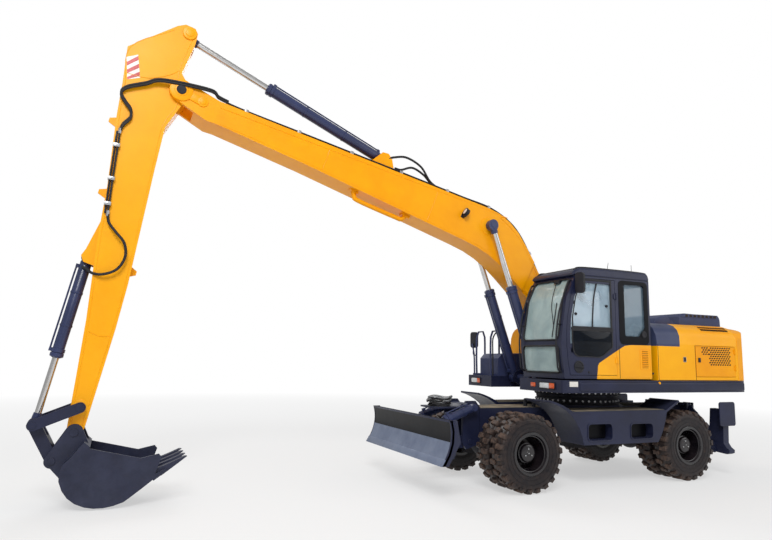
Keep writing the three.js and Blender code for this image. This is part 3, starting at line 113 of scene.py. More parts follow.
def noise(point, scale, detail, roughness=0.5, distortion=0.0):
    return addNode(point.id_data, "TexNoise", {"Vector": point, "Scale": scale, "Detail": detail,
        "Roughness": roughness, "Distortion": distortion})


def sidePlane(origin, degrees):
    # a frame lying in the machine's side plane: its X runs at this angle above the horizon, its Y stays
    # to the left
    a = math.radians(degrees)
    matrix = Matrix(((math.cos(a), 0, -math.sin(a)), (0, 1, 0), (math.sin(a), 0, math.cos(a)))).to_4x4()
    matrix.translation = Vector(origin)
    return matrix


def strokeFrame(hinge, stroke):
    # a cylinder's frame: origin on its base pin, X along its stroke
    x = Vector(joints[stroke]["axis"]).normalized()
    helper = Vector((0, 1, 0)) if abs(x.y) < 0.1 else Vector((1, 0, 0))
    z = x.cross(helper).normalized()
    matrix = Matrix((x, z.cross(x), z)).transposed().to_4x4()
    matrix.translation = Vector(joints[hinge]["pos_m"])
    return matrix


# materials
def startMaterial(name):
    material = bpy.data.materials.new(name)
    material.use_nodes = True
    tree = material.node_tree
    surface = tree.nodes["Principled BSDF"]
    coords = tree.nodes.new("ShaderNodeTexCoord")
    return material, tree, surface, coords


def layered(name, tones, sizesMm, dustTopLow, roughness, metallic=0.0, specular=0.4, coat=0.0,
        region=None, regionTones=""):
    # tones: base, its broad darker patches, and the dust that settles on upward faces and low down
    # sizesMm: how broad the patches are, how fine the grain, and how deep its bump
    material, tree, surface, coords = startMaterial(name)
    point = coords.outputs["Object"]
    base, shade, dust = tones.split()
    patch, fine, depth = sizesMm
    spread = mapRange(noise(point, 1000 / patch, 5.0, 0.62), 0.34, 0.68)
    grain = noise(point, 1000 / fine, 3.0, 0.6)
    up = addNode(tree, "SeparateXYZ", {0: coords.outputs["Normal"]})
    height = addNode(tree, "SeparateXYZ", {0: point})
    settled = compute("ADD", mapRange(up.outputs["Z"], 0.25, 0.95, 0.0, dustTopLow[0]),
        mapRange(height.outputs["Z"], 1.25, 0.1, 0.0, dustTopLow[1]))
    cloud = noise(point, 3.4, 6.0, 0.7)
    amount = compute("MULTIPLY", settled, mapRange(cloud, 0.32, 0.66), clamp=True)
    colour = mixColour(amount, mixColour(spread, base, shade), dust)
    if region:
        # a second colour inside a painted outline drawn in the side view
        colour = mixColour(region(tree, point), colour, mixColour(spread, *regionTones.split()))
    gloss = mapRange(cloud, 0.3, 0.7, *roughness)
    bump = addNode(tree, "Bump", {"Height": grain, "Strength": 0.25, "Distance": depth / 1000})
    feed(surface, {"Base Color": colour, "Roughness": compute("MULTIPLY_ADD", amount, 0.35, gloss,
        clamp=True), "Normal": bump, "Metallic": metallic, "Coat Roughness": 0.18,
        "Specular IOR Level": specular, "Coat Weight": coat})
    return material


def swooshRegion(tree, point):
    # below the painted border along the side, from the door's foot back to the cab's rear edge, on
    # outward faces
    axes = addNode(tree, "SeparateXYZ", {0: point})
    along = mapRange(axes.outputs["X"], slewX - 0.6, slewX + 0.7)
    curve = addNode(tree, "FloatCurve", {"Value": along})
    line = curve.mapping.curves[0]
    border = [(-0.6, 2.04), (-0.02, 2.035), (0.10, 2.02), (0.28, 1.93), (0.60, 1.76), (0.625, 1.72),
        (0.655, 1.50), (0.70, 1.40)]
    marks = [((x + 0.6) / 1.3, (z - 1.3) / 1.0) for x, z in border]
    line.points[0].location = marks[0]
    line.points[1].location = marks[-1]
    for mark in marks[1:-1]:
        line.points.new(*mark)
    for mark in line.points:
        mark.handle_type = "VECTOR"
    curve.mapping.update()
    below = compute("LESS_THAN", compute("ADD", axes.outputs["Z"], -1.3), curve)
    outer = compute("GREATER_THAN", axes.outputs["Y"], 1.192)
    behind = compute("LESS_THAN", axes.outputs["X"], slewX + 0.66)
    return compute("MULTIPLY", compute("MULTIPLY", below, outer), behind)


def shoulderRegion(tree, point):
    # the dark cover panel on the body's front shoulders, behind the cab
    axes = addNode(tree, "SeparateXYZ", {0: point})
    top = compute("GREATER_THAN", axes.outputs["Z"], 2.035)
    slope = compute("MULTIPLY_ADD", axes.outputs["Z"], -0.12, slewX - 0.735)
    return compute("MULTIPLY", top, compute("GREATER_THAN", axes.outputs["X"], slope))


finishes = {
    # sprayed two-pack machine enamel: even, glossy, with a slight orange peel and dust where it lies
    # flat
    "yellowEnamel": layered("sprayed yellow machine enamel", "#fdab00 #f49d00 #c9912e",
        (700, 5, 0.5), (0.12, 0.05), (0.3, 0.42), specular=0.24, coat=0.04),
    # the arm and bucket gear stand further into the light, so their enamel is a shade lighter
    "armEnamel": layered("sprayed yellow arm enamel", "#fdb00c #f7a606 #c9912e",
        (700, 5, 0.5), (0.12, 0.05), (0.3, 0.42), specular=0.24, coat=0.04),
    # body panel with the dark moulded shoulder cover painted in; its yellow is a shade lighter than the boom's
    # enamel, painted light that lifts the body where it sits in less light
    "bodyEnamel": layered("body enamel with dark shoulder", "#ffb404 #f9a802 #c9912e",
        (700, 5, 0.5), (0.12, 0.05), (0.3, 0.42), specular=0.24, coat=0.04,
        region=shoulderRegion, regionTones="#3f4766 #353c58"),
    # chassis paint: dark blue-grey, half matt, dusted from the road
    "chassisPaint": layered("blue-grey chassis paint", "#1f2440 #181b31 #5c6072",
        (500, 6, 0.6), (0.24, 0.12), (0.38, 0.52), specular=0.3, coat=0.1),
    # moulded and painted cab skin: same grey, cleaner, with the yellow flank swept up over the door in the body's
    # lighter yellow, which is painted light
    "cabPaint": layered("cab paint with swept flank", "#1b2140 #161b34 #5c6072",
        (500, 6, 0.6), (0.06, 0.0), (0.38, 0.52), specular=0.3, coat=0.25,
        region=swooshRegion, regionTones="#ffb404 #f9a802"),
    # bucket and blade steel: grey paint already rubbed and dusty
    "bucketPaint": layered("scuffed bucket paint", "#1a1e33 #272b42 #5c6072",
        (180, 9, 1.2), (0.16, 0.18), (0.36, 0.6), specular=0.3, coat=0.1),
    # the polished lower part of the blade, scraped light by earth
    "scrapedSteel": layered("earth-scraped blade steel", "#7e8aa2 #69758f #85899a",
        (240, 7, 0.8), (0.2, 0.1), (0.32, 0.5), metallic=0.35),
    # deck and mudguard tops, tan with dried mud
    "muddyDeck": layered("dusty deck plate", "#57544f #3e4048 #a99a80",
        (260, 6, 0.6), (0.85, 0.2), (0.6, 0.85), specular=0.3),
    # cylinder tubes: satin blue-black paint over drawn tube
    "cylinderPaint": layered("satin cylinder paint", "#323a60 #283050 #5c6072",
        (500, 6, 0.6), (0.12, 0.05), (0.26, 0.4), specular=0.3, coat=0.3),
    # black moulded plastic and painted rail tube: fine texture, low gloss
    "blackPlastic": layered("black moulded plastic", "#14151c #1b1c25 #5f5b58",
        (160, 3, 0.35), (0.12, 0.1), (0.42, 0.6)),
    # grey moulded plastic of the console and the hood
    "greyPlastic": layered("grey moulded plastic", "#363e62 #2d3454 #757b92",
        (260, 3, 0.4), (0.16, 0.05), (0.45, 0.62)),
    # extruded rubber: seals, hose covers and grips, dull with a faint bloom
    "blackRubber": layered("extruded black rubber", "#17171a #222226 #5d564e",
        (90, 4, 0.3), (0.15, 0.15), (0.5, 0.72)),
    # zinc plated bolts, washers and pipe clamps
    "zincPlate": layered("zinc plated steel", "#b9bbbe #9fa1a3 #8b8172",
        (60, 2, 0.2), (0.2, 0.3), (0.3, 0.5), metallic=0.9),
    # painted shade: the deep shadow behind louvres and perforations, given as a dark colour
    "ventShadow": layered("painted shade behind the vents", "#231a12 #36281a #5b4a35",
        (50, 4, 0.6), (0.3, 0.1), (0.7, 0.9)),
    # pressed steel wheel rims: black gloss paint, browned by the road in patches
    "rimEnamel": layered("gloss black rim paint", "#0b0a0f #131218 #33282a",
        (90, 5, 0.6), (0.2, 0.42), (0.18, 0.36), coat=0.5),
    # tinted glass edge print: gloss black, even
    "blackPrint": layered("black glass print", "#08090e #0d0e14 #3a3c46",
        (200, 6, 0.1), (0.05, 0.0), (0.3, 0.4), specular=0.12),
    # zinc plated bolt heads with a painted highlight: their colour is set pale where they catch the light
    "highlitZinc": layered("zinc bolts with painted highlight", "#dcdde0 #c9cacd #a79d90",
        (60, 2, 0.2), (0.1, 0.1), (0.35, 0.5), metallic=0.4),
    # cast iron of axles, hubs and counterweight feet
    "castIron": layered("painted casting", "#191a21 #22232c #5d4d40",
        (120, 7, 1.4), (0.3, 0.16), (0.5, 0.7), specular=0.3),
    # white and red retroreflective film, orange-peel free
    "whiteFilm": layered("white reflective film", "#ece9e4 #dedad4 #b5a993",
        (200, 4, 0.15), (0.1, 0.1), (0.3, 0.42), coat=0.3),
    "redFilm": layered("red reflective film", "#c8161d #b01018 #a07a60",
        (200, 4, 0.15), (0.1, 0.1), (0.3, 0.42), coat=0.3),
    # moulded lamp lenses
    "clearLens": layered("clear lamp lens", "#e9ecec #cfd4d6 #b5a993",
        (30, 6, 1.2), (0.1, 0.05), (0.12, 0.2), coat=0.6),
    "amberLens": layered("amber lamp lens", "#e8641f #d24c12 #a07a50",
        (30, 6, 1.2), (0.1, 0.05), (0.14, 0.22), coat=0.6),
}


def chromeMaterial():
    # hard chromed rod: mirror-like with faint draw lines and a thin oil film
    material, tree, surface, coords = startMaterial("hard chromed rod")
    film = noise(coords.outputs["Object"], 9.0, 6.0)
    feed(surface, {"Base Color": mixColour(film, "#d9dadd", "#bdbab4"),
        "Roughness": mapRange(film, 0.0, 1.0, 0.14, 0.3), "Metallic": 1.0})
    return material


def glassMaterial(name, look):
    # float or laminated glass: a tint, paler in the clear panes where it paints the sky's reflection, a second
    # tone in patches by the smear as painted sheen, faint wipe marks in the roughness, and see-through by alpha
    material, tree, surface, coords = startMaterial(name)
    smear = noise(coords.outputs["Object"], 2.2, 5.0, distortion=0.8)
    feed(surface, {"Base Color": mixColour(smear, look["tint"], look["smearSheen"]),
        "Roughness": mapRange(smear, 0.0, 1.0, 0.02, 0.09), "Alpha": mapRange(smear, 0.3, 0.7,
        *look["alpha"]), "IOR": look["ior"], "Coat Weight": 0.1})
    return material


def tyreMaterial():
    # off-road tyre rubber: black sidewall with brown earth worked into the tread, by the dust each
    # point carries
    material, tree, surface, coords = startMaterial("dusty tyre rubber")
    point = coords.outputs["Object"]
    earth = addNode(tree, "Attribute", attribute_name="earth")
    amount = compute("MULTIPLY", earth.outputs["Fac"], mapRange(noise(point, 16.0, 7.0, 0.7), 0.34,
        0.62), clamp=True)
    fineNoise = noise(point, 90.0, 4.0)
    rubber = mixColour(fineNoise, "#0c0a10", "#17141a")
    bump = addNode(tree, "Bump", {"Height": fineNoise, "Strength": 0.4, "Distance": 0.002})
    feed(surface, {"Base Color": mixColour(amount, rubber, "#6a564b"), "Normal": bump,
        "Roughness": mapRange(amount, 0.0, 1.0, 0.34, 0.92), "Specular IOR Level": 0.3})
    return material


def clothMaterial():
    # woven seat cloth: a dark twill, its threads drawn at 6 mm so that they show
    material, tree, surface, coords = startMaterial("dark woven seat cloth")
    threads = {"Vector": coords.outputs["Object"], "Scale": 1000 / 6 / 6.3, "Distortion": 1.0}
    warp, weft = (addNode(tree, "TexWave", threads, bands_direction=way) for way in ("Y", "DIAGONAL"))
    weave = compute("MULTIPLY", warp.outputs["Fac"], weft.outputs["Fac"])
    bump = addNode(tree, "Bump", {"Height": weave, "Strength": 0.5, "Distance": 0.0015})
    feed(surface, {"Base Color": mixColour(weave, "#202126", "#3a3b42"), "Normal": bump,
        "Roughness": 0.9, "Sheen Weight": 0.3})
    return material


finishes["chrome"] = chromeMaterial()
# the clear panes' pale blue-green and blue-grey colours are painted reflection of the sky, each pane lighter or
# darker by how it faces the light; the mirror's grey is painted reflection too
finishes["frontGlass"] = glassMaterial("laminated windshield", {"tint": "#a9c8cc", "smearSheen": "#d6eae8",
    "alpha": (0.40, 0.64), "ior": 1.45})
finishes["sideGlass"] = glassMaterial("tempered side glass", {"tint": "#a9c6da", "smearSheen": "#c4dcea",
    "alpha": (0.34, 0.46), "ior": 1.4})
finishes["darkGlass"] = glassMaterial("dark lower door glass", {"tint": "#04070e", "smearSheen": "#111923",
    "alpha": (0.84, 0.94), "ior": 1.2})
finishes["quarterGlass"] = glassMaterial("tempered quarter glass",
    {"tint": "#6f8798", "smearSheen": "#8299a9", "alpha": (0.36, 0.48), "ior": 1.3})
finishes["mirrorGlass"] = glassMaterial("mirror glass", {"tint": "#8e9aa2", "smearSheen": "#aab4ba",
    "alpha": (0.98, 1.0), "ior": 1.52})
finishes["tyre"] = tyreMaterial()
finishes["cloth"] = clothMaterial()
print("materials made:", len(finishes))


# mesh tools
def asObject(shape, name):
    # a bmesh made into an object of the scene
    data = bpy.data.meshes.new(name)
    shape.to_mesh(data)
    shape.free()
    made = bpy.data.objects.new(name, data)
    bpy.context.scene.collection.objects.link(made)
    return made


def bake(piece):
    # applies an object's modifiers and takes them off
    plain = bpy.data.meshes.new_from_object(piece.evaluated_get(bpy.context.evaluated_depsgraph_get()))
    piece.modifiers.clear()
    piece.data = plain


class Part:
    # gathers shapes of one finish on one body, and makes them one piece; at is the frame they are drawn
    # in
    def __init__(self, name, body, finish, at=Matrix()):
        self.name, self.body, self.finish, self.at = name, body, finish, at
        self.mesh = bmesh.new()

    def add(self, shape, place=None):
        points, faces = shape
        place = self.at @ place if place else self.at
        made = [self.mesh.verts.new(place @ Vector(p)) for p in points]
        for face in faces:
            try:
                self.mesh.faces.new([made[i] for i in face])
            except ValueError:
                pass
        return self

    def close(self, bevel=0.0, segments=2, smooth=32, replaced=()):
        bmesh.ops.remove_doubles(self.mesh, verts=self.mesh.verts, dist=1e-5)
        bmesh.ops.recalc_face_normals(self.mesh, faces=self.mesh.faces)
        if bevel > 0:
            edges = [e for e in self.mesh.edges if len(e.link_faces) == 2 and e.calc_face_angle(
                0) > 0.6]
            bmesh.ops.bevel(self.mesh, geom=edges, offset=bevel, segments=segments, profile=0.5,
                affect="EDGES", clamp_overlap=True)
        return settle(asObject(self.mesh, self.name), self.body, self.finish, smooth, replaced)


def slewPart(name, body, finish):
    # a part drawn from the slewing axis
    return Part(name, body, finish, Matrix.Translation((slewX, 0, 0)))


def settle(piece, body, finish, smooth=32, replaced=()):
    piece.data.materials.clear()
    piece.data.materials.append(finishes[finish])
    if smooth:
        piece.data.shade_smooth()
        piece.data.set_sharp_from_angle(angle=math.radians(smooth))
    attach(piece, body)
    if replaced:
        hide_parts(*replaced)
    return piece


def block(low, high):
    (x0, y0, z0), (x1, y1, z1) = low, high
    points = [(x, y, z) for x in (x0, x1) for y in (y0, y1) for z in (z0, z1)]
    return points, [(0, 1, 3, 2), (4, 6, 7, 5), (0, 4, 5, 1), (2, 3, 7, 6), (0, 2, 6, 4), (1, 5, 7, 3)]


def slab(outline, y0, y1):
    # an outline drawn in the XZ plane, given a thickness along Y
    count = len(outline)
    points = [(x, y0, z) for x, z in outline] + [(x, y1, z) for x, z in outline]
    faces = [tuple(range(count)), tuple(range(2 * count - 1, count - 1, -1))]
    faces += [(i, i + count, (i + 1) % count + count, (i + 1) % count) for i in range(count)]
    return points, faces


def roundedOutline(x0, x1, z0, z1, radius, steps=6):
    corners = [(x1 - radius, z0 + radius, -90), (x1 - radius, z1 - radius, 0),
        (x0 + radius, z1 - radius, 90), (x0 + radius, z0 + radius, 180)]
    return [(cx + radius * math.cos(math.radians(start + 90 * i / steps)),
        cz + radius * math.sin(math.radians(start + 90 * i / steps))) for cx, cz,
        start in corners for i in range(steps + 1)]


def frameBorder(outline, inset, y0, y1):
    # a flat ring that follows an outline: its inner edge is the outline drawn in towards its middle
    cx = sum(p[0] for p in outline) / len(outline)
    cz = sum(p[1] for p in outline) / len(outline)
    halfX = max(abs(p[0] - cx) for p in outline)
    halfZ = max(abs(p[1] - cz) for p in outline)
    inner = [(cx + (x - cx) * (1 - inset / halfX), cz + (z - cz) * (1 - inset / halfZ)) for x,
        z in outline]
    count = len(outline)
    points = [(x, y, z) for y in (y0, y1) for ring in (outline, inner) for x, z in ring]
    faces = []
    for i in range(count):
        j = (i + 1) % count
        faces += [(i, j, j + count, i + count), (i + 2 * count, i + 3 * count, j + 3 * count,
            j + 2 * count), (i, i + 2 * count, j + 2 * count, j), (i + count, j + count, j + 3 * count,
            i + 3 * count)]
    return points, faces


def turned(profile, sides=40, axis="Y"):
    # a lathe: profile of (along, radius) turned round the axis; it closes itself where the radius is 0
    points = []
    faces = []
    for i in range(sides):
        a = 2 * math.pi * i / sides
        for along, radius in profile:
            c, s = radius * math.cos(a), radius * math.sin(a)
            points.append({"X": (along, c, s), "Y": (s, along, c), "Z": (c, s, along)}[axis])
    count = len(profile)
    for i in range(sides):
        j = (i + 1) % sides
        for k in range(count - 1):
            faces.append((i * count + k, j * count + k, j * count + k + 1, i * count + k + 1))
    return points, faces


def ringTurned(profile, sides=64, axis="Y"):
    # a lathe whose profile is a closed loop
    points, faces = turned(profile + [profile[0]], sides, axis)
    return points, faces


def cylinder(start, end, radius, sides=24):
    return tapered([(start, radius), (end, radius)], sides)


def tapered(stations, sides=24):
    # a closed tube through stations of (centre, radius), its rings kept parallel
    centres = [Vector(c) for c, _ in stations]
    direction = (centres[-1] - centres[0]).normalized()
    helper = Vector((0, 0, 1)) if abs(direction.z) < 0.9 else Vector((1, 0, 0))
    u = direction.cross(helper).normalized()
    v = direction.cross(u)
    points = []
    for centre, (_, radius) in zip(centres, stations):
        for i in range(sides):
            a = 2 * math.pi * i / sides
            points.append(tuple(centre + u * radius * math.cos(a) + v * radius * math.sin(a)))
    faces = [tuple(range(sides))]
    for k in range(len(stations) - 1):
        for i in range(sides):
            j = (i + 1) % sides
            faces.append((k * sides + i, k * sides + j, (k + 1) * sides + j, (k + 1) * sides + i))
    faces.append(tuple(range((len(stations) - 1) * sides, len(stations) * sides))[::-1])
    return points, faces


def smoothRoute(corners, steps=8):
    # a rounded route through the corners
    route = [Vector(c) for c in corners]
    padded = [route[0] * 2 - route[1]] + route + [route[-1] * 2 - route[-2]]
    result = []
    for i in range(1, len(padded) - 2):
        a, b, c, d = padded[i - 1:i + 3]
        for k in range(steps):
            t = k / steps
            result.append(0.5 * ((2 * b) + (c - a) * t + (2 * a - 5 * b + 4 * c - d) * t * t + (
                3 * b - a - 3 * c + d) * t ** 3))
    result.append(route[-1])
    return result


def hose(route, radius, sides=12):
    # a closed round tube along a route, its section carried without twist
    route = [Vector(p) for p in route]
    points = []
    faces = []
    normal = None
    for i, centre in enumerate(route):
        ahead = route[min(i + 1, len(route) - 1)] - route[max(i - 1, 0)]
        ahead.normalize()
        if normal is None:
            normal = ahead.cross(Vector((0.3, 0.9, 0.2))).normalized()
        normal = (normal - ahead * normal.dot(ahead)).normalized()
        side = ahead.cross(normal)
        for k in range(sides):
            a = 2 * math.pi * k / sides
            points.append(tuple(centre + (normal * math.cos(a) + side * math.sin(a)) * radius))
    for i in range(len(route) - 1):
        for k in range(sides):
            j = (k + 1) % sides
            faces.append((i * sides + k, i * sides + j, (i + 1) * sides + j, (i + 1) * sides + k))
    faces.append(tuple(range(sides))[::-1])
    faces.append(tuple(range((len(route) - 1) * sides, len(route) * sides)))
    return points, faces


def hexHead(centre, direction, acrossFlats, height):
    d = Vector(direction).normalized()
    start = Vector(centre)
    radius = acrossFlats / math.sqrt(3)
    return tapered([(start, radius), (start + d * height * 0.8, radius),
        (start + d * height, radius * 0.8)], 6)


# repeats, by Geometry Nodes
def newRepeatTree(name, sockets):
    tree = bpy.data.node_groups.new(name, "GeometryNodeTree")
    tree.interface.new_socket("Geometry", in_out="INPUT", socket_type="NodeSocketGeometry")
    for label, kind, value in sockets:
        socket = tree.interface.new_socket(label, in_out="INPUT", socket_type=kind)
        if value is not None:
            socket.default_value = value
    tree.interface.new_socket("Finish", in_out="INPUT", socket_type="NodeSocketMaterial")
    tree.interface.new_socket("Geometry", in_out="OUTPUT", socket_type="NodeSocketGeometry")
    return tree, tree.nodes.new("NodeGroupInput"), tree.nodes.new("NodeGroupOutput")


def closeTree(tree, source, sink, instances):
    real = addNode(tree, "GeometryNodeRealizeInstances", {0: instances})
    dressed = addNode(tree, "GeometryNodeSetMaterial", {0: real, "Material": source.outputs["Finish"]})
    feed(sink, {0: dressed})
    return tree


def ringTree():
    # turns copies of a shape round an axis through a centre; Wobble turns each a little, by the seed
    tree, source, sink = newRepeatTree("repeat round an axis", [("Count", "NodeSocketInt", 8),
        ("Centre", "NodeSocketVector", None), ("Axis", "NodeSocketVector", None),
        ("Start Angle", "NodeSocketFloat", 0.0), ("Wobble", "NodeSocketFloat", 0.0),
        ("Seed", "NodeSocketInt", 1)])
    given = source.outputs
    marks = addNode(tree, "GeometryNodePoints", {"Count": given["Count"], "Position": given["Centre"]})
    back = addNode(tree, "VectorMath", {0: given["Centre"]}, operation="SCALE")
    feed(back, {"Scale": -1.0})
    shifted = addNode(tree, "GeometryNodeTransform", {0: given["Geometry"], "Translation": back})
    index = tree.nodes.new("GeometryNodeInputIndex")
    angle = compute("MULTIPLY_ADD", compute("DIVIDE", index, given["Count"]), 2 * math.pi,
        given["Start Angle"])
    jitter = addNode(tree, "FunctionNodeRandomValue", {"Seed": given["Seed"], 2: -1.0},
        data_type="FLOAT")
    uneven = compute("MULTIPLY_ADD", jitter.outputs[1], given["Wobble"], angle)
    spin = addNode(tree, "FunctionNodeAxisAngleToRotation", {"Axis": given["Axis"], "Angle": uneven})
    copies = addNode(tree, "GeometryNodeInstanceOnPoints", {"Points": marks, "Instance": shifted,
        "Rotation": spin})
    return closeTree(tree, source, sink, copies)


def rowTree():
    # lays copies of a shape in rows and columns; every other row is shifted by Stagger
    tree, source, sink = newRepeatTree("repeat in rows", [("Columns", "NodeSocketInt", 4),
        ("Rows", "NodeSocketInt", 1), ("Column Step", "NodeSocketVector", None),
        ("Row Step", "NodeSocketVector", None), ("Stagger", "NodeSocketVector", None),
        ("Seed", "NodeSocketInt", 1)])
    given = source.outputs
    total = compute("MULTIPLY", given["Columns"], given["Rows"])
    index = tree.nodes.new("GeometryNodeInputIndex")
    column = compute("MODULO", index, given["Columns"])
    row = compute("FLOOR", compute("DIVIDE", index, given["Columns"]))
    parts = []
    for label, factor in (("Column Step", column), ("Row Step", row),
            ("Stagger", compute("MODULO", row, 2.0))):
        scaled = addNode(tree, "VectorMath", {0: given[label]}, operation="SCALE")
        feed(scaled, {"Scale": factor})
        parts.append(scaled)
    first = addNode(tree, "VectorMath", {0: parts[0], 1: parts[1]}, operation="ADD")
    place = addNode(tree, "VectorMath", {0: first, 1: parts[2]}, operation="ADD")
    marks = addNode(tree, "GeometryNodePoints", {"Count": total, "Position": place})
    copies = addNode(tree, "GeometryNodeInstanceOnPoints", {"Points": marks,
        "Instance": given["Geometry"]})
    return closeTree(tree, source, sink, copies)


repeatTrees = {"ring": ringTree(), "rows": rowTree()}


def repeated(shape, kind, finish, settings, bevel=0.0):
    # runs a repeat tree on one shape and gives back the plain shape that it makes
    part = bmesh.new()
    made = [part.verts.new(Vector(p)) for p in shape[0]]
    for face in shape[1]:
        part.faces.new([made[i] for i in face])
    bmesh.ops.remove_doubles(part, verts=part.verts, dist=1e-6)
    bmesh.ops.recalc_face_normals(part, faces=part.faces)
    if bevel > 0:
        edges = [e for e in part.edges if e.calc_face_angle(0) > 0.6]
        bmesh.ops.bevel(part, geom=edges, offset=bevel, segments=1, profile=0.5, affect="EDGES",
            clamp_overlap=True)
    holder = asObject(part, "repeat")
    modifier = holder.modifiers.new("repeat", "NODES")
    modifier.node_group = repeatTrees[kind]
    for item in modifier.node_group.interface.items_tree:
        if item.item_type == "SOCKET" and item.in_out == "INPUT" and item.name in settings:
            modifier[item.identifier] = settings[item.name]
        if item.item_type == "SOCKET" and item.name == "Finish":
            modifier[item.identifier] = finishes[finish]
    bake(holder)
    plain = holder.data
    points = [tuple(v.co) for v in plain.vertices]
    faces = [tuple(p.vertices) for p in plain.polygons]
    bpy.data.objects.remove(holder)
    return points, faces


# the CAD nodes, with softened edges
def dress(node, finish, edge):
    # a merged copy of the CAD node with a small weld-soft bevel; it stands for the node
    source = nodes[node]
    work = bmesh.new()
    work.from_mesh(source.data)
    bmesh.ops.remove_doubles(work, verts=work.verts, dist=2e-5)
    bmesh.ops.dissolve_limit(work, angle_limit=math.radians(0.6), verts=work.verts, edges=work.edges)
    piece = asObject(work, node + "_shell")
    piece.data.shade_smooth()
    piece.data.set_sharp_from_angle(angle=math.radians(30))
    bevel = piece.modifiers.new("edge", "BEVEL")
    bevel.width = edge
    bevel.segments = 2
    bevel.limit_method = "ANGLE"
    bevel.angle_limit = math.radians(34)
    bevel.use_clamp_overlap = True
    bevel.miter_outer = "MITER_ARC"
    even = piece.modifiers.new("even", "WEIGHTED_NORMAL")
    even.keep_sharp = True
    even.weight = 100
    bake(piece)
    return settle(piece, bodyOf[node], finish, 0, (node,))


bodyOf = {node: body for body, members in frame["record"]["behaviour"]["bodies"].items(
    ) for node in members}
nodeFinish = {"chassis_frame": ("chassisPaint", 0.006), "front_axle": ("castIron", 0.008),
    "rear_axle": ("castIron", 0.008), "drive_line": ("castIron", 0.005),
    "left_knuckle": ("castIron", 0.006), "right_knuckle": ("castIron", 0.006),
    "left_tool_box": ("chassisPaint", 0.006), "right_tool_box": ("chassisPaint", 0.006),
    "tie_rod": ("castIron", 0.003), "dozer_blade": ("chassisPaint", 0.005),
    "left_outrigger_leg": ("chassisPaint", 0.005), "left_outrigger_pad": ("chassisPaint", 0.005),
    "right_outrigger_leg": ("chassisPaint", 0.005), "right_outrigger_pad": ("chassisPaint", 0.005),
    "upper_platform": ("chassisPaint", 0.034), "rear_body": ("bodyEnamel", 0.012),
    "counterweight": ("yellowEnamel", 0.014), "fuel_tank": ("yellowEnamel", 0.014),
    "front_tool_box": ("greyPlastic", 0.006), "engine": ("castIron", 0.01),
    "left_service_door": ("yellowEnamel", 0.006), "right_service_door": ("yellowEnamel", 0.006),
    "engine_hood": ("greyPlastic", 0.012), "cab_frame": ("cabPaint", 0.008),
    "cab_roof": ("cabPaint", 0.050), "cab_door": ("cabPaint", 0.007),
    "operator_station": ("greyPlastic", 0.010), "boom": ("yellowEnamel", 0.007),
    "arm": ("armEnamel", 0.007), "bucket": ("bucketPaint", 0.005),
    "bucket_rocker": ("chassisPaint", 0.006), "bucket_link": ("chassisPaint", 0.008),}
for node, (finish, edge) in nodeFinish.items():
    if node in nodes:
        dress(node, finish, edge)
glassOf = {"quarter_glass": "quarterGlass", "rear_window_glass": "sideGlass",
    "right_window_glass": "sideGlass", "door_glass": "sideGlass"}
for node, finish in glassOf.items():
    nodes[node].data.materials.clear()
    nodes[node].data.materials.append(finishes[finish])
print("CAD nodes dressed")


# wheels
wheelSpec = {"twinOffset": 0.165, "lugs": 22, "lugWobble": 0.012, "rimBolts": 10, "hubBolts": 3}
tyreSection = [(-0.112, 0.262), (-0.118, 0.285), (-0.130, 0.33), (-0.134, 0.39), (-0.130, 0.435),
    (-0.124, 0.462), (-0.112, 0.484), (-0.085, 0.497), (-0.04, 0.500), (0.0, 0.500), (0.04, 0.500),
    (0.085, 0.497), (0.112, 0.484), (0.124, 0.462), (0.130, 0.435), (0.134, 0.39), (0.130, 0.33),
    (0.118, 0.285), (0.112, 0.262), (0.0, 0.258)]
rimSection = [(-0.012, 0.0), (-0.012, 0.236), (-0.280, 0.236), (-0.292, 0.246), (-0.294, 0.280),
    (-0.290, 0.2865), (-0.284, 0.284), (-0.280, 0.261), (-0.052, 0.2575), (-0.046, 0.284),
    (-0.036, 0.284), (-0.030, 0.2575), (0.030, 0.2575), (0.036, 0.284), (0.046, 0.284),
    (0.052, 0.2575), (0.280, 0.261), (0.284, 0.284), (0.290, 0.2865), (0.294, 0.280), (0.292, 0.250),
    (0.278, 0.243), (0.262, 0.238), (0.258, 0.228), (0.246, 0.226), (0.238, 0.232), (0.10, 0.226),
    (0.05, 0.215), (0.018, 0.19), (0.016, 0.156), (0.026, 0.146), (0.15, 0.140), (0.168, 0.134),
    (0.172, 0.122), (0.195, 0.118), (0.208, 0.110), (0.213, 0.098), (0.215, 0.092), (0.2155, 0.03),
    (0.219, 0.026), (0.219, 0.0)]
lugPlan = [(0.010, -0.030), (0.040, -0.052), (0.072, -0.034), (0.104, -0.040), (0.1345, -0.050),
    (0.1345, 0.036), (0.104, 0.036), (0.074, 0.044), (0.046, 0.028), (0.010, 0.034)]


def lugShape(side, centre, tyreY):
    # one tread block: broad at the shoulder, waisted, and leaning to the next one at the middle
    points = []
    for level, shrink in ((0.462, 1.0), (0.5275, 0.84)):
        for along, across in lugPlan:
            drop = 0.012 * max(0.0, (along - 0.09) / 0.045) if level > 0.5 else 0.0
            inward = 0.006 if level > 0.5 and along > 0.12 else 0.0
            c = across * shrink
            radius = math.sqrt((level - drop) ** 2 - c * c)
            points.append((centre[0] + c * side, centre[1] + tyreY + side * (along - inward),
                centre[2] + radius))
    count = len(lugPlan)
    faces = [tuple(range(count)), tuple(range(2 * count - 1, count - 1, -1))]
    faces += [(i, i + count, (i + 1) % count + count, (i + 1) % count) for i in range(count)]
    return points, faces


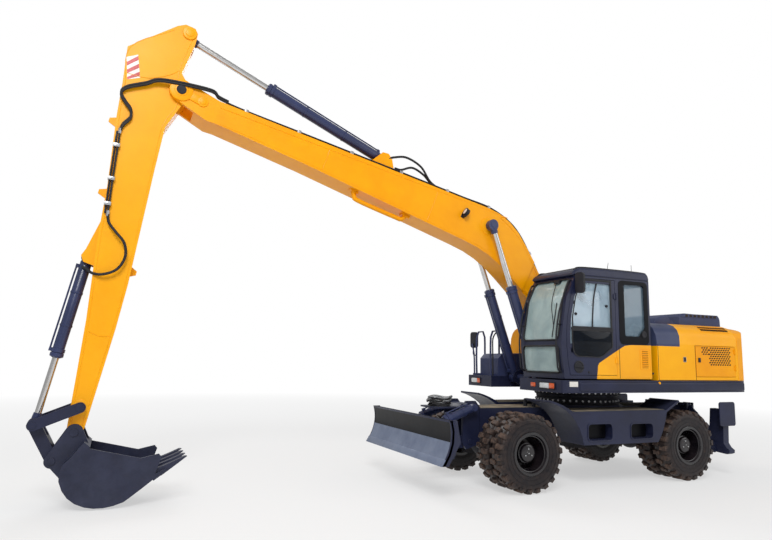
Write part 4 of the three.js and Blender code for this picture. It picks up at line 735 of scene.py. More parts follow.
def buildWheel(name, spec):
    centre = Vector(joints[name + "_spin"]["pos_m"])
    body = name + "_wheel"
    side = 1 if centre.y > 0 else -1
    place = Matrix.Translation(centre)
    tyre = Part(name + "_tyre_pair", body, "tyre")
    for which, offset in enumerate((-spec["twinOffset"], spec["twinOffset"])):
        tyre.add(ringTurned([(a + offset, r) for a, r in tyreSection], 88), place)
        for half in (-1, 1):
            # two rings of blocks for each tyre, the second ring half a pitch on
            start = (math.pi / spec["lugs"] if half > 0 else 0.0) + 0.07 * which
            tyre.add(repeated(lugShape(half, centre, offset), "ring", "tyre",
                {"Count": spec["lugs"], "Centre": centre, "Axis": (0.0, 1.0, 0.0),
                "Start Angle": start, "Wobble": spec["lugWobble"], "Seed": 3 + which}, bevel=0.005))
        for radius, along in ((0.405, 0.1335), (0.345, 0.131), (0.298, 0.122)):
            # moulded rings on the sidewalls
            for face in (-1, 1):
                ring = [(offset + face * (along + dx), radius + dr) for dx,
                    dr in ((-0.004, -0.006), (0.003, -0.003), (0.003, 0.003), (-0.004, 0.006))]
                tyre.add(ringTurned(ring, 88), place)
    piece = tyre.close(smooth=40, replaced=(name + "_tyres",))
    earth = piece.data.attributes.new("earth", "FLOAT", "POINT")
    for i, vertex in enumerate(piece.data.vertices):
        radius = math.hypot(vertex.co.x - centre.x, vertex.co.z - centre.z)
        # clean low on the sidewall, browned on the carcass, most on the blocks' crowns
        level = (radius - 0.500) / 0.022
        shoulder = (radius - 0.40) / 0.09
        earth.data[i].value = 0.10 + 0.22 * min(max(shoulder, 0.0), 1.0) + 0.60 * min(max(level, 0.0),
            1.0)
    rim = Part(name + "_rim_pair", body, "rimEnamel")
    profile = [(a * side, r) for a, r in rimSection]
    rim.add(turned(profile, 72), place)
    for i in range(spec["rimBolts"]):
        a = 2 * math.pi * i / spec["rimBolts"]
        spot = centre + Vector((0.176 * math.cos(a), side * 0.012, 0.176 * math.sin(a)))
        rim.add(hexHead(spot, (0, side, 0), 0.030, 0.026))
        rim.add(cylinder(spot, spot + Vector((0, side * 0.036, 0)), 0.009, 10))
    valveRoute = smoothRoute([centre + Vector((0.20, side * 0.03, 0.02)),
        centre + Vector((0.215, side * 0.10, 0.02)), centre + Vector((0.214, side * 0.20, 0.02))], 5)
    rim.add(hose(valveRoute, 0.005, 8))
    rim.close(smooth=34, replaced=(name + "_rim",))
    bolts = Part(name + "_hub_bolts", body, "zincPlate")
    for i in range(spec["hubBolts"]):
        a = math.radians(90 + 360 * i / spec["hubBolts"])
        spot = centre + Vector((0.058 * math.cos(a), side * 0.215, 0.058 * math.sin(a)))
        bolts.add(hexHead(spot, (0, side, 0), 0.019, 0.010))
    bolts.add(cylinder(centre + Vector((0, side * 0.218, 0)), centre + Vector((0, side * 0.226, 0)),
        0.009, 12))
    bolts.close()


for wheelName in ("front_left", "front_right", "rear_left", "rear_right"):
    buildWheel(wheelName, wheelSpec)
print("wheels built")


# hydraulic cylinders
def buildCylinder(name, hinge, spec, replacedBarrel, replacedRods):
    place = strokeFrame(hinge + "_swing", hinge + "_stroke")
    barrelBody = joints[hinge + "_swing"]["child"]
    rodBody = joints[hinge + "_stroke"]["child"]
    length, radius, rodRadius = spec["barrelLength"], spec["barrelRadius"], spec["rodRadius"]
    barrel = Part(name + "_tube", barrelBody, "cylinderPaint")
    shafts = Part(name + "_shaft", rodBody, "chrome")
    eyes = Part(name + "_rod_eye", rodBody, "cylinderPaint")
    bolts = Part(name + "_gland_bolts", barrelBody, "zincPlate")
    for offset in spec["offsets"]:
        shift = place @ Matrix.Translation((0, offset, 0))
        tube = [(spec["eyeRadius"] * 0.5, 0), (spec["eyeRadius"] * 0.5, radius * 0.8),
            (spec["eyeRadius"] * 0.8, radius), (length - 0.105, radius),
            (length - 0.100, radius + 0.011), (length - 0.058, radius + 0.011),
            (length - 0.055, radius + 0.002), (length - 0.050, radius + 0.002),
            (length - 0.047, radius + 0.011), (length - 0.010, radius + 0.011),
            (length, radius + 0.003), (length + 0.002, rodRadius + 0.010),
            (length + 0.010, rodRadius + 0.008), (length + 0.010, rodRadius + 0.001),
            (length - 0.04, rodRadius + 0.001), (length - 0.04, 0)]
        barrel.add(turned(tube, 48, "X"), shift)
        half = spec["eyeWidth"] / 2
        barrel.add(cylinder((0, -half, 0), (0, half, 0), spec["eyeRadius"], 40), shift)
        # a pressure pipe along the tube, with its blocks and clamps
        side = spec.get("pipeSide", 1)
        lane = (radius + 0.022) * side
        pipe = smoothRoute([(spec["eyeRadius"] + 0.04, 0, lane * 0.9),
            (spec["eyeRadius"] + 0.09, 0, lane + 0.004 * side), (length * 0.5, 0, lane + 0.004 * side),
            (length - 0.14, 0, lane + 0.004 * side), (length - 0.075, 0, lane)], 4)
        barrel.add(hose(pipe, 0.011, 10), shift)
        for spot in (spec["eyeRadius"] + 0.05, length - 0.08):
            low, high = sorted((radius * 0.8 * side, (radius + 0.036) * side))
            barrel.add(block((spot - 0.022, -0.022, low), (spot + 0.022, 0.022, high)), shift)
        for share in (0.35, 0.68):
            spot = length * share
            barrel.add(turned([(spot, radius - 0.002), (spot, radius + 0.005),
                (spot + 0.026, radius + 0.005), (spot + 0.026, radius - 0.002)], 48, "X"), shift)
        for i in range(8):
            a = 2 * math.pi * (i + 0.5) / 8
            spot = Vector((length, (radius - 0.014) * math.cos(a), (radius - 0.014) * math.sin(a)))
            bolts.add(hexHead(shift @ spot, shift.to_3x3() @ Vector((1, 0, 0)), 0.012, 0.006))
        end = spec["restLength"]
        shafts.add(cylinder((spec["inside"], 0, 0), (end - spec["rodEyeRadius"] * 0.75, 0, 0),
            rodRadius, 40), shift)
        halfEye = spec["rodEyeWidth"] / 2
        eyes.add(cylinder((end, -halfEye, 0), (end, halfEye, 0), spec["rodEyeRadius"], 40), shift)
        eyes.add(tapered([((end - spec["rodEyeRadius"] - 0.05, 0, 0), rodRadius + 0.008),
            ((end - spec["rodEyeRadius"] * 0.6, 0, 0), rodRadius + 0.016)], 32), shift)
        pinHalf = halfEye + spec["pinProud"]
        eyes.add(cylinder((end, -pinHalf, 0), (end, pinHalf, 0), spec["pinRadius"], 32), shift)
    if spec.get("crossPin"):
        half = spec["crossPin"]
        barrel.add(cylinder((0, -half, 0), (0, half, 0), 0.05, 32), place)
    barrel.close(smooth=36, replaced=(replacedBarrel,))
    bolts.close()
    shafts.close(smooth=36, replaced=replacedRods)
    eyes.close(smooth=36)


def restLength(node, hinge):
    # how far the rod's eye centre lies from the base pin, read from the CAD rod
    place = strokeFrame(hinge + "_swing", hinge + "_stroke").inverted()
    return max((place @ v.co).x for v in nodes[node].data.vertices)


cylinderSizes = ("barrelLength", "barrelRadius", "rodRadius", "eyeRadius", "eyeWidth", "rodEyeRadius",
    "rodEyeWidth", "pinRadius", "pinProud", "inside")
cylinders = {"boom_cylinders": ("boom_cylinder", "boom_cylinder_barrels",
    ("boom_rod_left", "boom_rod_right"), (1.52, 0.074, 0.043, 0.095, 0.096, 0.088, 0.09, 0.045, 0.006,
    1.02), {"offsets": (-0.31, 0.31), "crossPin": 0.372, "pipeSide": -1}),
    "arm_cylinder": ("arm_cylinder", "arm_cylinder_barrel", ("arm_cylinder_rod",),
    (1.995, 0.076, 0.045, 0.09, 0.15, 0.092, 0.124, 0.05, 0.002, 1.17), {"offsets": (0.0,)}),
    "bucket_cylinder": ("bucket_cylinder", "bucket_cylinder_barrel", ("bucket_cylinder_rod",),
    (1.24, 0.066, 0.038, 0.072, 0.13, 0.072, 0.124, 0.036, 0.002, 0.81), {"offsets": (0.0,)}),
    "blade_cylinders": ("blade_cylinder", "blade_cylinder_barrels", ("blade_cylinder_rods",),
    (0.52, 0.062, 0.034, 0.055, 0.07, 0.045, 0.06, 0.029, 0.004, 0.165),
    {"offsets": (-0.36, 0.36), "crossPin": 0.41}),}
for side in ("left", "right"):
    cylinders[side + "_outrigger_cylinder"] = (side + "_outrigger_cylinder",
        side + "_outrigger_barrel", (side + "_outrigger_rod",), (0.525, 0.048, 0.028, 0.045, 0.06,
        0.038, 0.05, 0.024, 0.003, 0.125), {"offsets": (0.0,)})
for name, (hinge, barrelNode, rodNodes, sizes, spec) in cylinders.items():
    spec.update(zip(cylinderSizes, sizes))
    spec["restLength"] = restLength(rodNodes[0], hinge) - spec["rodEyeRadius"]
    buildCylinder(name, hinge, spec, barrelNode, rodNodes)
print("cylinders built")

# boom
boomFrame = sidePlane(joints["boom_lift"]["pos_m"], 27.03)
armFrame = sidePlane(joints["arm_crowd"]["pos_m"], -78.22)
boomSpec = {"half": 0.22, "tip": 7.174, "pipeRadius": 0.013, "hoseRadius": 0.017, "pipeLane": 0.16}


def boss(work, place, x, z, y, side, radius, depth):
    # a stepped round boss with a pin end, standing off a side plate
    profile = [(0, 0), (0, radius), (depth * 0.6, radius), (depth * 0.75, radius * 0.94),
        (depth * 0.75, radius * 0.6), (depth, radius * 0.56), (depth, 0)]
    work.add(turned([(y + a, r) if side > 0 else (-y - a, r) for a, r in profile], 40),
        place @ Matrix.Translation((x, 0, z)))


def boomDetails(spec):
    bosses = Part("boom_bosses", "boom", "yellowEnamel")
    for side in (-1, 1):
        boss(bosses, boomFrame, spec["tip"], 0, spec["half"] - 0.002, side, 0.148, 0.026)
        boss(bosses, boomFrame, spec["tip"] - 0.30, 0.03, spec["half"] - 0.002, side, 0.07, 0.02)
        boss(bosses, boomFrame, 2.314, 0.992, spec["half"] - 0.002, side, 0.15, 0.014)
        # keeper plate between the tip pin and its lock bolt
        plate = [(spec["tip"] - 0.06, 0.055), (spec["tip"] - 0.32, 0.085), (spec["tip"] - 0.37, 0.03),
            (spec["tip"] - 0.32, -0.03), (spec["tip"] - 0.06, -0.055)]
        y = side * (spec["half"] + 0.006)
        bosses.add(slab(plate, min(y - 0.006, y + 0.006), max(y - 0.006, y + 0.006)), boomFrame)
    bosses.close(bevel=0.002)
    seams = Part("boom_weld_beads", "boom", "yellowEnamel")
    lower = [(0.82, 0.244), (1.103, 0.360), (1.641, 0.514), (1.95, 0.575), (2.25, 0.60), (2.6, 0.568),
        (5.33, 0.134), (6.55, -0.098)]
    upper = [(6.66, 0.098), (2.46, 1.214), (2.2, 1.235), (1.85, 1.17), (1.58, 1.06), (1.00, 0.669)]
    for side in (-1, 1):
        y = side * (spec["half"] - 0.001)
        for line in (lower, upper):
            seams.add(hose(smoothRoute([(x, y, z) for x, z in line], 5), 0.0055, 6), boomFrame)
        for x, z0, z1 in ((3.30, 0.47, 0.97), (5.06, 0.19, 0.51)):
            seams.add(hose([(x, y, z0), (x + 0.02, y, (z0 + z1) / 2), (x + 0.05, y, z1)], 0.005, 6),
                boomFrame)
    seams.close(smooth=60)
    # the oil feed block and its yellow pipe under the belly
    belly = Part("boom_belly_pipe", "boom", "yellowEnamel")
    belly.add(hose(smoothRoute([(4.50, 0.09, 0.245), (4.44, 0.09, 0.17), (4.34, 0.09, 0.152),
        (3.74, 0.09, 0.262), (3.64, 0.09, 0.29), (3.60, 0.09, 0.36)], 6), 0.034, 16), boomFrame)
    belly.add(block((4.42, 0.04, 0.215), (4.56, 0.14, 0.26)), boomFrame)
    belly.add(block((3.54, 0.04, 0.345), (3.68, 0.14, 0.42)), boomFrame)
    belly.close(smooth=50)
    # steel pipes along the back of the boom, with clamps, from the foot to the tip
    pipes = Part("boom_steel_pipes", "boom", "blackPlastic")
    clamps = Part("boom_pipe_clamps", "boom", "zincPlate")
    back = [(0.60, 0.455), (1.0, 0.745), (1.42, 1.04), (1.75, 1.232), (2.05, 1.312), (2.44, 1.300),
        (2.9, 1.180), (3.6, 1.005), (4.6, 0.750), (5.6, 0.494), (6.35, 0.300), (6.62, 0.240)]
    for lane in (spec["pipeLane"], spec["pipeLane"] - 0.045, -spec["pipeLane"],
            -spec["pipeLane"] + 0.045):
        pipes.add(hose(smoothRoute([(x, lane, z) for x, z in back], 8), spec["pipeRadius"], 12),
            boomFrame)
    for x, z in ((1.42, 1.04), (2.44, 1.298), (3.2, 1.104), (4.0, 0.902), (4.8, 0.698), (5.6, 0.494),
            (6.35, 0.300)):
        for sign in (-1, 1):
            low, high = sorted((sign * (spec["pipeLane"] + 0.024), sign * (spec["pipeLane"] - 0.069)))
            place = boomFrame @ sidePlane((x, 0, z), 30 if x < 1.6 else -14)
            clamps.add(block((-0.026, low, -0.030), (0.026, high, 0.020)), place)
            clamps.add(hexHead(place @ Vector((0, (low + high) / 2, 0.018)),
                place.to_3x3() @ Vector((0, 0, 1)), 0.018, 0.012))
    pipes.close(smooth=60)
    clamps.close(bevel=0.003)
    # two loop hoses that feed the arm cylinder's base
    loops = Part("arm_cylinder_feed_hoses", "boom", "blackRubber")
    loops.add(hose(smoothRoute([(3.35, 0.115, 1.07), (3.52, 0.125, 1.085), (3.75, 0.12, 1.20),
        (4.02, 0.12, 1.185), (4.19, 0.115, 1.07), (4.26, 0.10, 0.995)], 8), spec["hoseRadius"], 12),
        boomFrame)
    loops.add(hose(smoothRoute([(3.35, 0.07, 1.07), (3.50, 0.085, 1.09), (3.66, 0.09, 1.13),
        (3.86, 0.095, 1.11), (4.0, 0.10, 0.97), (4.10, 0.10, 0.93)], 8), spec["hoseRadius"], 12),
        boomFrame)
    loops.close(smooth=60)
    # work light on a bracket on the left of the boom
    lamp = Part("boom_work_light", "boom", "blackPlastic")
    lamp.add(turned([(-0.045, 0), (-0.045, 0.03), (-0.03, 0.055), (0.02, 0.062), (0.03, 0.060),
        (0.03, 0.05), (0.022, 0.048), (0.022, 0)], 32, "X"), boomFrame @ Matrix.Translation((2.80,
        0.285, 0.93)))
    lamp.add(block((2.77, 0.215, 0.855), (2.81, 0.30, 0.873)), boomFrame)
    lamp.add(block((2.77, 0.215, 0.84), (2.83, 0.228, 0.93)), boomFrame)
    lamp.close(bevel=0.002)
    lens = Part("boom_work_light_lens", "boom", "clearLens")
    lens.add(turned([(0.0225, 0), (0.0225, 0.046), (0.027, 0.046), (0.031, 0.025), (0.032, 0)], 28,
        "X"), boomFrame @ Matrix.Translation((2.80, 0.285, 0.93)))
    lens.close()
    pinEnds = Part("boom_pin_ends", "boom", "castIron")
    for side in (-1, 1):
        for x, z, radius, y in ((spec["tip"], 0, 0.062, 0.2445), (2.314, 0.992, 0.07, 0.2315)):
            profile = [(y - 0.006, 0), (y - 0.006, radius), (y + 0.006, radius),
                (y + 0.010, radius * 0.9), (y + 0.010, 0)]
            pinEnds.add(turned([(a * side, r) for a, r in profile], 36),
                boomFrame @ Matrix.Translation((x, 0, z)))
    pinEnds.close()


boomDetails(boomSpec)
print("boom details built")

# arm
armSpec = {"half": 0.165, "pipeRadius": 0.013, "hoseRadius": 0.017, "film": 0.0015}


def armDetails(spec):
    half = spec["half"]
    bosses = Part("arm_bosses", "arm", "armEnamel")
    for side in (-1, 1):
        boss(bosses, armFrame, -0.835, 0.112, half - 0.002, side, 0.092, 0.030)
        boss(bosses, armFrame, 4.459, 0, 0.150, side, 0.088, 0.020)
        boss(bosses, armFrame, 4.17, 0.019, half - 0.002, side, 0.085, 0.008)
        profile = [(half - 0.002, 0.0), (half - 0.002, 0.135), (half + 0.003, 0.135),
            (half + 0.003, 0.0)]
        bosses.add(turned([(a * side, r) for a, r in profile], 44), armFrame)
    bosses.close(bevel=0.002)
    seams = Part("arm_weld_beads", "arm", "armEnamel")
    front = [(-0.80, 0.30), (-0.34, 0.738), (0.16, 0.662), (0.60, 0.607), (1.5, 0.457), (2.2, 0.372),
        (3.17, 0.217), (3.84, 0.132), (4.40, 0.062)]
    rear = [(-0.86, 0.045), (-0.25, 0.095), (0.18, 0.0), (0.54, 0.09), (1.1, 0.058), (2.64, -0.047),
        (3.2, -0.062), (4.36, -0.06)]
    for side in (-1, 1):
        y = side * (half - 0.001)
        for line in (front, rear):
            seams.add(hose(smoothRoute([(x, y, z) for x, z in line], 5), 0.005, 6), armFrame)
        seams.add(hose([(3.30, y, -0.06), (3.33, y, 0.06), (3.30, y, 0.19)], 0.005, 6), armFrame)
        seams.add(hose(smoothRoute([(0.02, y, 0.68), (-0.02, y, 0.42), (-0.16, y, 0.20),
            (-0.28, y, 0.09)], 6), 0.005, 6), armFrame)
    seams.close(smooth=60)
    # hazard film near the top: white ground with red slanting bars
    y = half + 0.0012
    ground = Part("arm_hazard_ground", "arm", "whiteFilm")
    corners = [(-0.185, 0.745), (-0.275, 0.625), (0.020, 0.520), (0.100, 0.655)]
    ground.add(slab(corners, half - 0.0005, y), armFrame)
    ground.add(slab(corners, -y, -half + 0.0005), armFrame)
    ground.close()
    bars = Part("arm_hazard_bars", "arm", "redFilm")
    a, b, c, d = (Vector(p) for p in corners)
    for i in range(3):
        t0, t1 = 0.06 + i * 0.34, 0.06 + i * 0.34 + 0.17
        lean = 0.16
        quad = [a.lerp(d, min(t0 + lean, 1)), a.lerp(d, min(t1 + lean, 1)), b.lerp(c, t1),
            b.lerp(c, t0)]
        bars.add(slab([tuple(q) for q in quad], half, y + spec["film"]), armFrame)
        bars.add(slab([tuple(q) for q in quad], -y - spec["film"], -half), armFrame)
    bars.close()
    # pressure pipe down the left of the arm, its clamps and couplings, and the loop to the bucket
    # cylinder
    pipes = Part("arm_steel_pipe", "arm", "blackPlastic")
    lane = half + 0.030
    pipes.add(hose(smoothRoute([(0.80, lane, 0.545), (0.98, lane, 0.515), (1.4, lane, 0.455),
        (1.86, lane, 0.383)], 8), spec["pipeRadius"], 12), armFrame)
    pipes.add(hose(smoothRoute([(0.80, lane - 0.035, 0.575), (0.98, lane - 0.018, 0.548),
        (1.4, lane - 0.018, 0.487), (1.86, lane - 0.018, 0.415)], 8), spec["pipeRadius"], 12), armFrame)
    pipes.close(smooth=60)
    loop = Part("arm_loop_hose", "arm", "blackRubber")
    loop.add(hose(smoothRoute([(1.86, lane, 0.383), (1.97, lane + 0.01, 0.335),
        (2.07, lane + 0.04, 0.22), (2.17, lane + 0.05, 0.10), (2.33, lane + 0.045, 0.045),
        (2.50, lane + 0.04, 0.09), (2.60, lane + 0.03, 0.22), (2.615, lane - 0.02, 0.34),
        (2.575, 0.10, 0.425), (2.56, 0.07, 0.475)], 8), spec["hoseRadius"], 12), armFrame)
    loop.close(smooth=60)
    clamps = Part("arm_pipe_clamps", "arm", "zincPlate")
    for x, z in ((0.99, 0.53), (1.42, 0.468), (1.74, 0.42)):
        place = armFrame @ sidePlane((x, 0, z), -8)
        clamps.add(block((-0.022, half - 0.004, -0.040), (0.022, half + 0.052, 0.040)), place)
        clamps.add(hexHead(place @ Vector((0, half + 0.05, 0)), (0, 1, 0), 0.018, 0.010))
    for x, z in ((0.80, 0.545), (1.86, 0.383)):
        place = armFrame @ sidePlane((x, 0, z), -8)
        clamps.add(cylinder((-0.035, lane, 0), (0.035, lane, 0), 0.021, 6), place)
    clamps.close(bevel=0.002)


armDetails(armSpec)


def crossingHoses():
    # hoses that bend over the boom tip pin: they follow the boom, then the arm
    start, end = boomFrame @ Vector((6.75, 0, 0.1)), armFrame @ Vector((0.60, 0, 0.3))
    left = [boomFrame @ Vector(p) for p in ((6.60, 0.16, 0.245), (6.74, 0.19, 0.215),
        (6.88, 0.252, 0.20))]
    left += [armFrame @ Vector(p) for p in ((-0.02, 0.235, 0.235), (0.10, 0.215, 0.43),
        (0.235, 0.205, 0.625), (0.33, 0.20, 0.665), (0.42, 0.20, 0.59), (0.50, 0.20, 0.50),
        (0.60, 0.197, 0.475), (0.72, 0.195, 0.53), (0.82, 0.195, 0.543))]
    for name, shift in (("tip_hose_a", 0.0), ("tip_hose_b", 0.03)):
        work = Part(name, "boom", "blackRubber")
        route = [p + Vector((0, -shift * 0.2, shift)) for p in left]
        work.add(hose(smoothRoute(route, 10), 0.016, 12))
        piece = work.close(smooth=60)
        matrix = piece.matrix_world.copy()
        piece.parent = None
        piece.matrix_world = matrix
        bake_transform(piece)


crossingHoses()
print("arm details built")


# cab
cabSpec = {"gasket": 0.014, "rail": 0.013}


def frontX(z):
    # where the cab's front face stands at a height
    if z > 2.68:
        return 1.185 - (z - 2.68) * 0.175 / 0.34
    if z > 2.10:
        return 1.285 - (z - 2.10) * 0.100 / 0.58
    t = (z - 1.53) / 0.57
    return (1 - t) ** 2 * 1.235 + 2 * t * (1 - t) * 1.300 + t * t * 1.285


def wrapFront(outline, lift):
    # lays a (y, z) outline on the curved cab front
    return [Vector((frontX(z) + lift, y, z)) for y, z in outline]


def closedRing(route, radius, sides=8):
    points, faces = hose(list(route) + [route[0]], radius, sides)
    return points, faces[:-2]


def ringBetween(outer, inner, y0, y1, count=72):
    # a flat ring between two outlines in the XZ plane, sampled by direction from the inner one's middle
    middle = (sum(p[0] for p in inner) / len(inner), sum(p[1] for p in inner) / len(inner))

    def reach(outline, angle):
        dx, dz = math.cos(angle), math.sin(angle)
        for (x0, z0), (x1, z1) in zip(outline, outline[1:] + outline[:1]):
            ax, az, bx, bz = x0 - middle[0], z0 - middle[1], x1 - x0, z1 - z0
            cross = dx * bz - dz * bx
            if abs(cross) < 1e-12:
                continue
            along = (ax * bz - az * bx) / cross
            share = (ax * dz - az * dx) / cross
            if along > 0 and -1e-6 <= share <= 1 + 1e-6:
                return (middle[0] + dx * along, middle[1] + dz * along)
        return middle

    angles = sorted({round(math.atan2(z - middle[1], x - middle[0]) % (2 * math.pi), 4) for x,
        z in inner + outer} | {round(2 * math.pi * i / count, 4) for i in range(count)})
    rings = [[reach(outline, a) for a in angles] for outline in (outer, inner)]
    count = len(angles)
    points = [(x, y, z) for y in (y0, y1) for ring in rings for x, z in ring]
    faces = []
    for i in range(count):
        j = (i + 1) % count
        faces += [(i, j, j + count, i + count), (i + 2 * count, i + 3 * count, j + 3 * count,
            j + 2 * count), (i, i + 2 * count, j + 2 * count, j), (i + count, j + count, j + 3 * count,
            i + 3 * count)]
    return points, faces


def curvedPane(low, high, y0, y1, rows=15):
    # a pane that follows the cab's curved front, set back behind its face
    points = []
    for layer in (-0.018, -0.026):
        for k in range(rows):
            z = low + (high - low) * k / (rows - 1)
            points += [(frontX(z) + layer, y, z) for y in (y0, y1)]
    faces = []
    for layer in (0, 1):
        for k in range(rows - 1):
            i = layer * rows * 2 + k * 2
            faces.append((i, i + 1, i + 3, i + 2))
    for k in range(rows - 1):
        i, j = k * 2, rows * 2 + k * 2
        faces += [(i, j, j + 2, i + 2), (i + 1, i + 3, j + 3, j + 1)]
    top = rows * 2 - 2
    faces += [(0, 1, rows * 2 + 1, rows * 2), (top, top + 1, top + 1 + rows * 2, top + rows * 2)]
    return points, faces


def cabDetails(spec):
    gaskets = slewPart("cab_window_gaskets", "upper", "blackRubber")
    upper = roundedOutline(0.318, 1.132, 2.078, 2.975, 0.07)
    lower = roundedOutline(0.318, 1.132, 1.612, 1.995, 0.06)
    for outline in (upper, lower):
        dense = []
        for a, b in zip(outline, outline[1:] + outline[:1]):
            dense += [(a[0] + (b[0] - a[0]) * k / 4, a[1] + (b[1] - a[1]) * k / 4) for k in range(4)]
        gaskets.add(closedRing(wrapFront(dense, 0.001), spec["gasket"]))
    gaskets.close(smooth=50)
    # a wide band of black print round the quarter window, its glass cut slanting at the lower rear
    band = slewPart("quarter_window_print", "upper", "blackPrint")
    outer = roundedOutline(-0.392, 0.196, 2.040, 3.002, 0.075)
    inner = [(-0.185, 2.165), (0.062, 2.165), (0.085, 2.190), (0.085, 2.925), (0.065, 2.945),
        (-0.290, 2.945), (-0.312, 2.925), (-0.312, 2.300)]
    band.add(ringBetween([(x, z) for x, z in outer], [(x, z) for x, z in inner], 1.1995, 1.2035))
    band.close()
    # the two windshield panes
    for name, low, high, replaced in (("cab_lower_pane", 1.615, 1.992, ()),
            ("cab_upper_pane", 2.080, 2.974, ("windshield_glass",))):
        pane = slewPart(name, "upper", "frontGlass")
        pane.add(curvedPane(low, high, 0.322, 1.128))
        pane.close(replaced=replaced)
    # wiper, its motor cover and the inner mirror at the head of the windshield
    wiper = slewPart("cab_wiper", "upper", "blackPlastic")
    arm = [Vector((frontX(z) + lift, y, z)) for y, z, lift in ((0.86, 2.93, 0.02),
        (0.94, 2.615, 0.036), (1.02, 2.30, 0.024))]
    wiper.add(hose(smoothRoute(arm, 6), 0.006, 8))
    blade = [Vector((frontX(z) + 0.016, 1.02 + (z - 2.30) * 0.03, z)) for z in (2.12, 2.3, 2.48, 2.62)]
    wiper.add(hose(smoothRoute(blade, 4), 0.008, 6))
    wiper.add(block((frontX(2.99) - 0.01, 0.80, 2.92), (frontX(2.99) + 0.045, 0.92, 2.975)))
    wiper.add(block((0.98, 0.62, 2.78), (1.03, 0.86, 2.86)))
    wiper.close(bevel=0.003)
    # grab rail down the left front pillar and the right one
    rails = slewPart("cab_grab_rails", "upper", "blackPlastic")
    for y in (1.155, 0.295):
        route = [Vector((frontX(2.95) + 0.005, y, 2.95)), Vector((frontX(2.92) + 0.055, y, 2.90)),
            Vector((frontX(2.5) + 0.055, y, 2.5)), Vector((frontX(2.1) + 0.055, y, 2.1)),
            Vector((frontX(1.75) + 0.055, y, 1.75)), Vector((frontX(1.66) + 0.05, y, 1.66)),
            Vector((frontX(1.62) + 0.0, y, 1.62))]
        rails.add(hose(smoothRoute(route, 6), spec["rail"], 12))
        rails.add(cylinder((frontX(2.3) - 0.005, y, 2.3), (frontX(2.3) + 0.05, y, 2.3), 0.009, 10))
    rails.close(smooth=60)
    # rear fastener cap, roof gutter, antennas, and the tubes and plate on the roof
    trim = slewPart("cab_trim", "upper", "blackPlastic")
    trim.add(turned([(1.199, 0), (1.199, 0.052), (1.212, 0.050), (1.216, 0.036), (1.213, 0.030),
        (1.213, 0)], 28), Matrix.Translation((-0.290, 0, 2.200)))
    for x, lean in ((0.336, 0.02), (-0.167, 0.0)):
        trim.add(tapered([((x, 1.12, 3.145), 0.020), ((x, 1.12, 3.165), 0.018),
            ((x - lean, 1.12, 3.175), 0.004), ((x - lean * 2, 1.12, 3.27), 0.003)], 10))
    for y in (0.262, 1.188):
        trim.add(hose([Vector((x, y, 3.022)) for x in (-0.43, 0.3, 1.02)], 0.010, 8))
    for y in (0.300, 1.140):
        trim.add(hose(smoothRoute([(-0.40, y, 3.115), (-0.37, y, 3.150), (0.30, y, 3.158),
            (0.86, y, 3.150), (0.98, y, 3.105)], 6), 0.017, 10))
    trim.add(hose([Vector((0.88, y, 3.142)) for y in (0.300, 0.72, 1.140)], 0.015, 10))
    trim.add(block((-0.25, 0.40, 3.140), (0.45, 1.05, 3.158)))
    trim.close(bevel=0.003, smooth=40)
    # left mirror on the front pillar
    mirror = slewPart("cab_mirror", "upper", "blackPlastic")
    shell = roundedOutline(-0.070, 0.070, -0.15, 0.15, 0.05)
    place = Matrix.Translation((0.985, 1.277, 2.905)) @ Matrix.Rotation(math.radians(108), 4, "Z")
    mirror.add(slab(shell, -0.028, 0.022), place)
    mirror.add(hose(smoothRoute([(1.00, 1.205, 3.02), (1.01, 1.235, 3.03), (1.005, 1.266, 3.01),
        (0.99, 1.277, 2.91)], 6), 0.010, 10))
    mirror.close(bevel=0.010, segments=3)
    glass = slewPart("cab_mirror_glass", "upper", "mirrorGlass")
    glass.add(slab(roundedOutline(-0.058, 0.058, -0.137, 0.137, 0.04), 0.022, 0.0245), place)
    glass.close()


